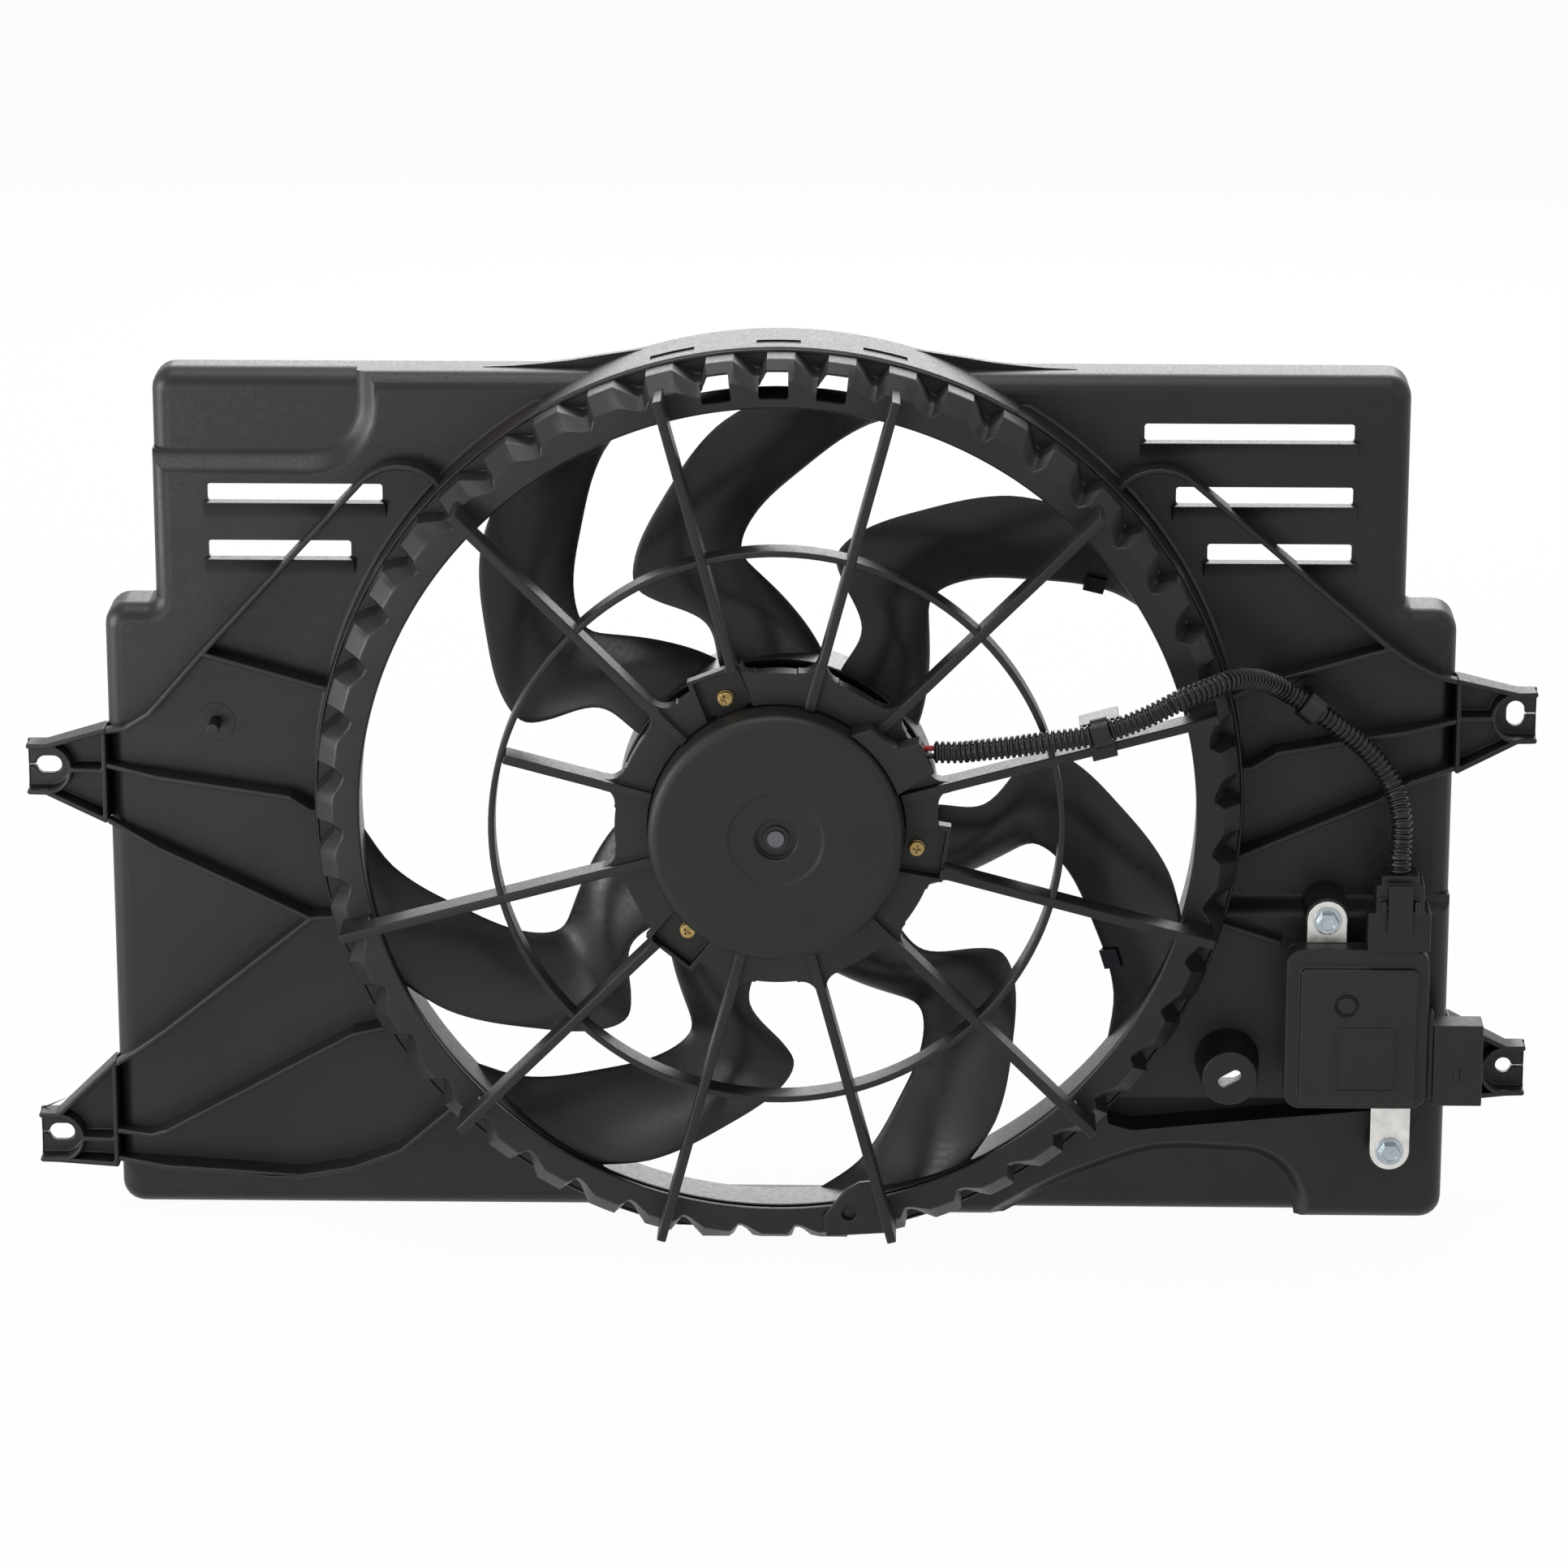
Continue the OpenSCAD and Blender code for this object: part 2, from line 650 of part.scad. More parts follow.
// One ear, drawn on the right side: plate, edge ribs, a horseshoe rim round the hole, and a
// wall beside the pan. Its root reaches above and below its hole along that wall.
module ear(side, z, above, below, hole) {
    root_top = z + above;
    root_bottom = z - below;
    x = lower_half_w + ear_reach;
    neck = x + 0.5;
    end = x + ear_end;
    edge = rib_t / 2;
    rim_out = ear_half - 0.4;
    rim_in = rim_out - 1.8;
    front = pan_depth + rib_h_wall;
    top = [[lower_half_w + edge, root_top - edge], [neck, z + ear_half - edge],
        [end - edge, z + ear_half - edge]];
    low = [[lower_half_w + edge, root_bottom + edge], [neck, z - ear_half + edge],
        [end - edge, z - ear_half + edge]];
    color("#2c2b2a") mirror([side < 0 ? 1 : 0, 0, 0]) difference() {
        union() {
            forward(ear_back, ear_back + ear_t) polygon([[lower_half_w, root_bottom],
                [neck, z - ear_half], [end, z - ear_half], [end, z + ear_half],
                [neck, z + ear_half], [lower_half_w, root_top]]);
            forward(ear_back, front) {
                stroke(top, rib_t);
                stroke(low, rib_t);
                polygon([[lower_half_w, root_top - 2], [lower_half_w, root_bottom + 2],
                    [lower_half_w + rib_t, root_bottom + 2], [lower_half_w + rib_t, root_top - 2]]);
            }
            forward(ear_back, front) intersection() {
                translate([x, z]) difference() {
                    circle(rim_out, $fn = 96);
                    circle(rim_in, $fn = 96);
                }
                translate([x - ear_half, z - ear_half]) square([ear_half, 2 * ear_half]);
            }
            translate([0, 0, z]) box(lower_half_w, x - rim_in - 0.9, ear_back, front,
                -edge, edge);
        }
        translate([x, 0, z]) forward(0, big) {
            if (hole == "wide") oblong(slot_l, slot_w);
            if (hole == "tall") rotate(90) oblong(slot_l, slot_w);
            if (hole == "round") circle(hole_d / 2, $fn = 48);
        }
        translate([0, 0, z]) box(x, end + cut, 0, big, -0.4, 0.4);
        rib_slope();
    }
}
module ear_left_upper() { ear(-1, left_upper_z, 21.5, 26, "wide"); }
module ear_left_lower() { ear(-1, -left_lower_z, 41, 14, "wide"); }
module ear_right_upper() { ear(1, right_upper_z, 20, 27, "tall"); }
module ear_right_lower() { ear(1, -right_lower_z, 28, 15, "round"); }

// Motor

bearing_seat = bearing_r + 2.5;
front_bearing_back = cap_front - 2.5 - 1 - bearing_w;
rear_bearing_back = can_back - bearing_w;
shaft_back = hub_back - 9;
magnet_in = core_r + air_gap;
core_back = can_back + 8;
core_front = can_front - 8;

module motor_can() {
    color("#262626") difference() {
        union() {
            tube(can_back, can_front, can_r, 0);
            tube(rear_bearing_back - 1, can_back + cut, bearing_seat, 0);
            for (a = screw_angles) rotate([0, -a, 0]) {
                box(can_r - 3, screw_circle_r, pocket_floor - 5, pocket_floor - 2, -8, 8);
                translate([screw_circle_r, 0, 0]) forward(pocket_floor - 5, pocket_floor - 2)
                    circle(6.5, $fn = 48);
            }
        }
        tube(can_back + can_wall, can_front + cut, can_r - can_wall, 0);
        tube(rear_bearing_back, can_back + can_wall + cut, bearing_r, 0);
        tube(0, can_back, shaft_r + 1.5, 0);
        for (a = screw_angles) rotate([0, -a, 0]) translate([screw_circle_r, 0, 0])
            forward(0, big) circle(2.5, $fn = 48);
    }
}

module motor_end_cap() {
    edge = 5;
    shell = 2.5;
    color("#333231") difference() {
        turned() {
            difference() {
                union() {
                    translate([0, can_front]) square([cap_r - edge, cap_front - can_front]);
                    translate([0, can_front]) square([cap_r, cap_front - can_front - edge]);
                    translate([cap_r - edge, cap_front - edge]) circle(edge, $fn = 48);
                }
                translate([0, can_front - cut])
                    square([cap_r - 4.7, cap_front - can_front - shell + cut]);
            }
            translate([bearing_r, front_bearing_back])
                square([2.5, cap_front - shell - front_bearing_back]);
        }
        tube(0, big, cap_hole_r, 0);
        tube(cap_front - 0.8, big, 22.3, 0);
    }
}

module motor_lead_cover() {
    color("#2e2d2c") difference() {
        forward(flange_face, can_front + 14) polygon([polar(cap_r + fit, 55), [45, 53.5],
            [50.5, 48.5], [57, 44], [68, 46.5], [75, 32], polar(cap_r + fit, 20),
            polar(cap_r + fit, 30), polar(cap_r + fit, 40), polar(cap_r + fit, 48)]);
        forward(0, big) circle(cap_r + fit, $fn = 180);
        translate([60, -flange_face - 5, 40]) rotate([0, 90, 0]) cylinder(big, 4, 4, $fn = 48);
        for (a = [15, 45]) rotate([0, -a, 0]) box(cap_r, 100, flange_face - cut,
            stator_front + 0.2, -arm_w / 2 - 0.2, arm_w / 2 + 0.2);
    }
}

module motor_screws() {
    color("#b99a4e") for (a = screw_angles) rotate([0, -a, 0]) translate([screw_circle_r, 0, 0])
        difference() {
            union() {
                tube(pocket_floor, pocket_floor + 1, 3.9, 0);
                tube(pocket_floor + 1, pocket_floor + 3.4, 3.5, 0);
                tube(pocket_floor - 12, pocket_floor + 1, 2.5, 0);
            }
            for (t = [0, 90]) translate([0, -pocket_floor - 3.4, 0]) rotate([0, t, 0])
                cube([4, 3, 0.9], center = true);
        }
}

// The place where the lead leaves the motor and enters its conduit.
conduit_start = [74.5, -flange_face - 5, 40];

module lead_wire(dz) {
    length = 13;
    translate(conduit_start + [-length, 0, dz]) rotate([0, 90, 0])
        cylinder(length, wire_r, wire_r, $fn = 24);
}

module lead_wire_red() { color("#b3201b") lead_wire(1.9); }
module lead_wire_black() { color("#1c1c1c") lead_wire(-1.9); }

module magnets() {
    color("#3c3c40") for (k = [0 : 3]) forward(core_back - 2, core_front + 2)
        intersection() {
            difference() {
                circle(can_r - can_wall, $fn = 180);
                circle(magnet_in, $fn = 180);
            }
            sector(can_r, k * 90 + 10, k * 90 + 80);
        }
}

module armature_core() {
    color("#7d7f82") forward(core_back, core_front) difference() {
        circle(core_r, $fn = 180);
        circle(shaft_r, $fn = 96);
        for (a = [0 : 30 : 330]) rotate(a) {
            translate([core_r - 22, -5]) square([19, 10]);
            translate([core_r - 5, -1.5]) square([10, 3]);
        }
    }
}

module windings() {
    color("#a3552b") for (a = [0 : 30 : 330]) rotate([0, -a, 0])
        box(core_r - 21.8, core_r - 3.2, core_back - 4.5, core_front + 4.5, -4.8, 4.8);
}

module commutator() {
    color("#b87333") tube(core_front + 5, front_bearing_back - 1, 12, shaft_r);
}

module shaft() {
    color("#b9bcbf") tube(shaft_back, cap_front - 2, shaft_r, 0);
}

module bearing(from) {
    color("#c9ccd0") {
        tube(from, from + bearing_w, bearing_r, bearing_r - 2);
        tube(from, from + bearing_w, shaft_r + 2, shaft_r + run);
        tube(from + 1.5, from + bearing_w - 1.5, bearing_r - 2, shaft_r + 2);
    }
}

module front_bearing() { bearing(front_bearing_back); }
module rear_bearing() { bearing(rear_bearing_back); }

brush_back = core_front + 7;

module brush_card() {
    color("#4a3b2a") difference() {
        union() {
            tube(brush_back - 2, brush_back, can_r - can_wall - 0.1, 20);
            for (s = [-1, 1]) box(min(s * 20, s * 38), max(s * 20, s * 38), brush_back,
                brush_back + 7, -6, 6);
        }
        for (s = [-1, 1]) box(min(s * 10, s * 34), max(s * 10, s * 34), brush_back,
            brush_back + 5, -4, 4);
    }
}

module brushes() {
    color("#222226") for (s = [-1, 1]) box(min(s * 12.2, s * 30), max(s * 12.2, s * 30),
        brush_back, brush_back + 4.8, -3.9, 3.9);
}

// Fan

// Where the blades sit, in degrees clockwise from the top: uneven, against a droning note.
blade_places = [0, 44, 108, 155, 208, 246, 321];
// The edges of a blade in degrees clockwise from its place, at each radius.
lead_edge = [[76, -21], [98, -20], [118, -29], [129, -31.5], [142, -28.5], [164, -19],
    [190, -9], [201, -3]];
trail_edge = [[76, 17], [98, 3.5], [118, -6.5], [127, -8], [142, -4.5], [164, 4],
    [190, 13], [201, 19]];
// Depth of both edges at the hub, at the bend and at the tip.
lead_depth = [[76, hub_front - 2], [130, hub_front - 5.5], [201, hub_front - 5.5]];
trail_depth = [[76, hub_back + 12], [130, hub_back + 9], [201, hub_back + 6]];
camber_h = 3;
stations = 14;
chord = 8;
blade_in = hub_r + seat;
blade_out = ring_r - ring_w - seat;

// The tables are drawn from radius 76 to 201 and stretch between hub and ring.
function drawn_r(r) = 76 + (r - blade_in) * 125 / (blade_out - blade_in);

// The smooth curve through a table of radius and value.
function smooth(table, q) =
    let (n = len(table) - 1,
        k = max([for (i = [0 : n - 1]) if (i == 0 || table[i][0] <= q) i]),
        a = table[k], b = table[k + 1],
        before = table[max(k - 1, 0)], after = table[min(k + 2, n)],
        h = b[0] - a[0], t = (q - a[0]) / h,
        rise_a = h * (b[1] - before[1]) / (b[0] - before[0]),
        rise_b = h * (after[1] - a[1]) / (after[0] - a[0]))
    (2 * t * t * t - 3 * t * t + 1) * a[1] + (t * t * t - 2 * t * t + t) * rise_a
        + (3 * t * t - 2 * t * t * t) * b[1] + (t * t * t - t * t) * rise_b;

// One point of a blade: station i, place j along the chord, and side +1 or -1.
function blade_point(i, j, side) =
    let (r = blade_in + (blade_out - blade_in) * i / stations,
        t = j / chord,
        q = drawn_r(r),
        a = smooth(lead_edge, q) * (1 - t) + smooth(trail_edge, q) * t,
        d = smooth(lead_depth, q) * (1 - t) + smooth(trail_depth, q) * t,
        camber = camber_h * sin(180 * t),
        half = 0.55 + (blade_t / 2 - 0.3) * sin(180 * t))
    [r * sin(a), -(d + camber + side * half), r * cos(a)];

row = chord + 1;
layer = row * (stations + 1);
blade_points = [for (side = [1, -1], i = [0 : stations], j = [0 : chord])
    blade_point(i, j, side)];
blade_faces = concat(
    [for (i = [0 : stations - 1], j = [0 : chord - 1], k = [0, 1]) let (p = i * row + j)
        k == 0 ? [p, p + 1, p + row] : [p + 1, p + row + 1, p + row]],
    [for (i = [0 : stations - 1], j = [0 : chord - 1], k = [0, 1])
        let (p = layer + i * row + j)
        k == 0 ? [p, p + row, p + 1] : [p + 1, p + row, p + row + 1]],
    [for (j = [0 : chord - 1], k = [0, 1])
        k == 0 ? [j, layer + j, j + 1] : [j + 1, layer + j, layer + j + 1]],
    [for (j = [0 : chord - 1], k = [0, 1]) let (p = stations * row + j)
        k == 0 ? [p, p + 1, layer + p] : [p + 1, layer + p + 1, layer + p]],
    [for (i = [0 : stations - 1], k = [0, 1]) let (p = i * row)
        k == 0 ? [p, p + row, layer + p] : [p + row, layer + p + row, layer + p]],
    [for (i = [0 : stations - 1], k = [0, 1]) let (p = i * row + chord)
        k == 0 ? [p, layer + p, p + row] : [p + row, layer + p, layer + p + row]]);

module fan_hub() {
    color("#1f1f20") difference() {
        union() {
            tube(hub_back, hub_front, hub_r, hub_r - 3);
            tube(hub_back, hub_back + 3, hub_r, 0);
            tube(hub_back, rear_bearing_back - 2, 12, 0);
        }
        tube(0, big, shaft_r, 0);
    }
}

module fan_blades() {
    color("#1f1f20") for (a = blade_places) rotate([0, a, 0])
        polyhedron(blade_points, blade_faces, 4);
}

module fan_ring() {
    color("#232324") tube(hub_back + 4, hub_back + 4 + ring_len, ring_r, ring_r - ring_w);
}

washer_t = 1.6;
nut_t = 6.5;

module drive_washer() { color("#9ea2a6") tube(hub_back - washer_t, hub_back, 11, shaft_r); }

module fan_nut() {
    color("#a9adb1") forward(hub_back - washer_t - nut_t, hub_back - washer_t) difference() {
        circle(7.5, $fn = 6);
        circle(shaft_r, $fn = 96);
    }
}

// A spring steel clip over the trailing edge of a blade, at a radius and a blade's place.
module balance_clip(r, place) {
    q = drawn_r(r);
    a = smooth(trail_edge, q);
    span = (a - smooth(lead_edge, q)) * PI / 180 * r;
    sweep = atan((smooth(trail_edge, q + 4) - smooth(trail_edge, q - 4)) / 8 * PI / 180 * r);
    rise = smooth(trail_depth, q) - smooth(lead_depth, q) - 2.7 * camber_h;
    slope = atan(rise / span / cos(sweep));
    rotate([0, place + a, 0]) translate([0, -smooth(trail_depth, q), r]) rotate([0, sweep, 0])
        rotate([0, 0, -slope]) difference() {
            translate([-8, -2.8, -5]) cube([9.5, 5.6, 10]);
            translate([-9, -2, -6]) cube([9.7, 4, 12]);
        }
}

module balance_clips() {
    color("#3a3b3d") {
        balance_clip(ring_r - 19, blade_places[1]);
        balance_clip(ring_r - 25, blade_places[2]);
    }
}

// Module

bracket_front = bracket_back + bracket_t;
cover_front = bracket_front + cover_h;
module_left = module_x - module_w / 2;
module_right = module_x + module_w / 2;
module_top = -module_z + module_h / 2;
module_low = -module_z - module_h / 2;
tab_r = 9.6;

module module_bracket() {
    color("#c8cac9") forward(bracket_back, bracket_front) difference() {
        union() {
            rounded(module_left + 1, module_right - 1, module_low + 1, module_top - 1, 5);
            for (b = [top_bolt, low_bolt]) {
                translate(b) circle(tab_r, $fn = 72);
                translate([b[0] - tab_r, min(b[1], -module_z)])
                    square([2 * tab_r, abs(b[1] + module_z)]);
            }
        }
        for (b = [top_bolt, low_bolt]) translate(b) circle(bolt_r + 0.3, $fn = 48);
    }
}

module module_heat_sink() {
    fins = 9;
    step = (module_w - 12) / (fins - 1);
    color("#a7a9ab") {
        box(module_left + 5, module_right - 5, bracket_back - 5, bracket_back,
            module_low + 6, module_top - 14);
        for (k = [0 : fins - 1]) translate([module_left + 6 + k * step, 0, 0])
            box(-1, 1, bracket_back - 13, bracket_back - 5, module_low + 8, module_top - 16);
    }
}

module module_gasket() {
    color("#1a1a1a") forward(bracket_front, bracket_front + 1) difference() {
        rounded(module_left, module_right, module_low, module_top, 8);
        rounded(module_left + 4, module_right - 4, module_low + 4, module_top - 4, 4);
    }
}

module module_board() {
    color("#1f4d2e") box(module_left + 4.5, module_right - 4.5, bracket_front + 3,
        bracket_front + 4.6, module_low + 4.5, module_top - 4.5);
}

module module_parts() {
    top = bracket_front + 4.6;
    color("#2a2d33") {
        for (z = [-30, -14, 2, 18]) box(module_x - 22, module_x - 12, top, top + 3,
            -module_z + z, -module_z + z + 9);
        for (x = [2, 16]) translate([module_x + x, 0, -module_z - 12]) tube(top, top + 5, 5.5, 0);
        box(module_x + 4, module_x + 18, top, top + 4, -module_z + 8, -module_z + 22);
        for (x = [-22, 22], z = [-30, 30]) translate([module_x + x, 0, -module_z + z])
            tube(bracket_front, bracket_front + 3, 2.5, 0);
    }
}

module module_cover() {
    color("#2a2a29") difference() {
        union() {
            forward(bracket_front + 1, cover_front)
                rounded(module_left, module_right, module_low, module_top, 8);
            forward(cover_front - cover_wall, cover_front + field_h)
                rounded(module_left + 7, module_right - 5.5, module_low + 3, module_top - 9, 3);
        }
        forward(0, cover_front - cover_wall) rounded(module_left + cover_wall + 2,
            module_right - cover_wall - 2, module_low + cover_wall + 2,
            module_top - cover_wall - 2, 4);
        translate([module_x - 5, 0, -module_z + 13]) tube(cover_front + field_h - 0.6, big, 5.5, 4.6);
    }
}

header_w = 16;
header_d = 14;
header_x = module_x + 19;
header_mid = bracket_front + 5;
header_top = module_top + 17;

module module_header() {
    color("#242424") difference() {
        box(header_x - header_w / 2, header_x + header_w / 2, header_mid - header_d / 2 + 2,
            header_mid + header_d / 2, module_top, header_top);
        box(header_x - header_w / 2 + 1.5, header_x + header_w / 2 - 1.5,
            header_mid - header_d / 2 + 3.5, header_mid + header_d / 2 - 1.5,
            module_top + 2, header_top + cut);
    }
}

module header_pins() {
    color("#c0b283") for (x = [-3.5, 3.5]) box(header_x + x - 1.2, header_x + x + 1.2,
        header_mid + 0.4, header_mid + 1.2, module_top + 2, header_top - 3);
}

socket_w = 27;
socket_back = bracket_back - 4;
socket_front = cover_front - 2;
socket_top = module_top - 39;
socket_low = module_top - 80;

module power_socket() {
    right = module_right + socket_w;
    color("#252524") difference() {
        union() {
            box(module_right + 3, right, socket_back, socket_front, socket_low, socket_top);
            box(module_right, module_right + 3, bracket_front + 1, cover_front - 3,
                socket_low + 3, socket_top + 6);
            box(module_right + 13, module_right + 16, socket_front, socket_front + 1.2,
                socket_low + 13, socket_low + 20);
        }
        box(module_right + 5, right - 2, socket_back + 2, socket_front - 2, socket_low - cut,
            socket_low + 18);
    }
}

module power_blades() {
    mid = (socket_back + socket_front) / 2;
    color("#c0b283") for (x = [10, 20]) box(module_right + x - 3, module_right + x + 3,
        mid - 0.6, mid + 0.6, socket_low + 5, socket_low + 18);
}

module module_bolts() {
    color("#cfd2d3") for (b = [top_bolt, low_bolt]) translate([b[0], 0, b[1]]) difference() {
        union() {
            tube(bracket_front, bracket_front + 1.4, 6.8, 0);
            forward(bracket_front + 1.4, bracket_front + 6) circle(5.4, $fn = 6);
            tube(bracket_back - 14, bracket_front, bolt_r, 0);
        }
        tube(bracket_front + 5, big, 3.2, 0);
    }
}

module boss_inserts() {
    color("#b08d3c") for (b = [top_bolt, low_bolt]) translate([b[0], 0, b[1]])
        tube(bracket_back - 12, bracket_back, insert_r, bolt_r);
}

// Motor plug on the header

plug_low = module_top + fit;
plug_mid = header_mid + 1;
skirt_top = module_top + 20;
plug_top = module_top + 38;
skirt_left = header_x - plug_w / 2;
skirt_right = header_x + plug_w / 2;
plug_back = plug_mid - plug_d / 2;
plug_front = plug_mid + plug_d / 2;
latch_gap = 1.7;
latch_t = 2;
latch_z = module_top + 24;

module motor_plug() {
    color("#232324") difference() {
        union() {
            box(skirt_left, skirt_right, plug_back, plug_front, plug_low, skirt_top);
            box(skirt_left + 3.5, skirt_right - 3.5, plug_back + 1.5, plug_front, skirt_top,
                plug_top - 4);
            box(skirt_left + 6, skirt_right - 6, plug_back + 2, plug_front - 2, plug_top - 4,
                plug_top);
            for (s = [-1, 1]) box(header_x + s * 8 - 1.25, header_x + s * 8 + 1.25, plug_front,
                plug_front + latch_gap + latch_t + 1, latch_z - 3, latch_z + 3);
        }
        box(header_x - header_w / 2 - fit, header_x + header_w / 2 + fit,
            header_mid - header_d / 2 + 2 - fit, header_mid + header_d / 2 + fit,
            plug_low - cut, header_top + 0.5);
        translate([header_x, -plug_mid, plug_top - 3]) cylinder(10, conduit_r + 0.1,
            conduit_r + 0.1, $fn = 64);
        for (x = [-3.5, 3.5]) translate([header_x + x, -plug_mid, header_top])
            cylinder(big, wire_r + 0.2, wire_r + 0.2, $fn = 32);
        translate([header_x - 10, -plug_front - latch_gap - latch_t / 2, latch_z])
            rotate([0, 90, 0]) cylinder(20, 0.8, 0.8, $fn = 32);
    }
}

module plug_latch() {
    y0 = plug_front + latch_gap;
    color("#2b2b2c") {
        box(header_x - 6, header_x + 6, y0, y0 + latch_t, latch_z - 14, latch_z + 11);
        box(header_x - 6, header_x + 6, y0 - 1, y0, latch_z - 14, latch_z - 11.5);
        translate([header_x - 9.2, -y0 - latch_t / 2, latch_z]) rotate([0, 90, 0])
            cylinder(18.4, 0.75, 0.75, $fn = 32);
    }
}

module plug_seal() {
    z = header_top - 5;
    color("#b5651d") difference() {
        box(header_x - header_w / 2 + 1.5, header_x + header_w / 2 - 1.5,
            header_mid - header_d / 2 + 3.5, header_mid + header_d / 2 - 1.5, header_top - 2,
            header_top);
        for (x = [-3.5, 3.5]) box(header_x + x - 1.5, header_x + x + 1.5, header_mid - 1,
            header_mid + 2.4, z, header_top + cut);
    }
}

module plug_terminals() {
    color("#c9c3a0") for (x = [-3.5, 3.5]) box(header_x + x - 1.2, header_x + x + 1.2,
        header_mid + 0.4, header_mid + 1.2, header_top - 3, header_top + 0.5);
}

// Conduit, clipped along the shroud from the motor to the plug

clip_at = inside(1, 71, 50);
route = [conduit_start, [86, -99, 40], [98, -101.5, 42], [112, -103, 44], [128, -105, 47],
    [145, -105, 49.5], [161, -105, 54], [176, -104, 60], [189, -101, 66], [202, -95, 70],
    [213, -87, 72], [clip_at[0] - 32, -75, 70], [clip_at[0] - 22, -63, 65],
    [clip_at[0] - 12, -55, 58], [clip_at[0], -54, 50], [clip_at[0] + 12, -53, 41],
    [header_x - 19.5, -51, 31], [header_x - 9.5, -51, 20], [header_x - 2.5, -53, 8],
    [header_x + 0.5, 5 - plug_mid, plug_top + 25], [header_x + 0.5, 3 - plug_mid, plug_top + 14],
    [header_x, -plug_mid, plug_top + 6], [header_x, -plug_mid, plug_top - 3]];
sides = 10;

function unit(v) = v / norm(v);
function along(i) = unit(route[min(i + 1, len(route) - 1)] - route[max(i - 1, 0)]);
function side_of(t) = unit(cross(t, [0, 1, 0]));
function ring_at(i) = let (t = along(i), u = side_of(t), v = cross(u, t))
    [for (k = [0 : sides - 1]) route[i] + conduit_r * (u * cos(k * 36) + v * sin(k * 36))];

module conduit() {
    n = len(route);
    color("#1d1d1d") polyhedron([for (i = [0 : n - 1]) each ring_at(i)],
        concat([[for (k = [0 : sides - 1]) sides - 1 - k]],
            [for (i = [0 : n - 2], k = [0 : sides - 1]) let (a = i * sides, b = (k + 1) % sides)
                [a + k, a + b, a + sides + b, a + sides + k]],
            [[for (k = [0 : sides - 1]) (n - 1) * sides + k]]), 4);
}

clip_bore = conduit_r + 0.4;
clip_outer = clip_bore + 1.8;

// A cylinder along the conduit at a place, whose direction climbs by an angle.
module collar(at, climb, length, r) {
    translate(at) rotate([0, 90 - climb, 0]) cylinder(length, r, r, center = true, $fn = 64);
}

module conduit_clip_arm() {
    at = [153, -105, 51.7];
    grip = arm_w / 2 + seat;
    color("#202020") difference() {
        union() {
            collar(at, 14, 8, clip_outer);
            rotate([0, -arm_step / 2, 0]) {
                box(154, 166, arm_back - seat - 1.8, stator_front + seat + 1.8, -grip - 1.8,
                    grip + 1.8);
                box(155, 164, stator_front - 12, stator_front + 2, grip + 1.7, grip + 6);
                box(152, 171, stator_front - 14, stator_front + 6, 13.4, 15.2);
                box(155, 164, stator_front - 8, stator_front - 4, grip + 5, 13.6);
            }
        }
        collar(at, 14, 60, clip_bore);
        rotate([0, -arm_step / 2, 0]) box(150, 170, arm_back - seat, stator_front + seat,
            -grip, grip);
    }
}

module conduit_clip_panel() {
    at = [clip_at[0], -54, clip_at[1]];
    color("#202020") difference() {
        union() {
            collar(at, -38, 9, clip_outer);
            translate([at[0], 0, at[2]]) tube(pan_depth, -at[1] - clip_bore, 4, 0);
            translate([at[0], 0, at[2]]) tube(pan_depth, pan_depth + 1.5, 8, 0);
        }
        collar(at, -38, 40, clip_bore);
    }
}

shroud_panel();
fan_barrel();
stator_arms();
stator_ring();
motor_flange();
cable_tab();
panel_ribs();
hook_rib_left();
hook_rib_right();
ear_left_upper();
ear_left_lower();
ear_right_upper();
ear_right_lower();
motor_can();
motor_end_cap();
motor_lead_cover();
motor_screws();
lead_wire_red();
lead_wire_black();
magnets();
armature_core();
windings();
commutator();
shaft();
front_bearing();
rear_bearing();
brush_card();
brushes();
fan_hub();
fan_blades();
fan_ring();
drive_washer();
fan_nut();
balance_clips();
module_bracket();
module_heat_sink();
module_gasket();
module_board();
module_parts();
module_cover();
module_header();
header_pins();
power_socket();
power_blades();
module_bolts();
boss_inserts();
motor_plug();
plug_latch();
plug_seal();
plug_terminals();
conduit();
conduit_clip_arm();
conduit_clip_panel();
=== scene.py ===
import math

import bmesh
import bpy
from mathutils import Matrix, Vector
from mathutils.bvhtree import BVHTree


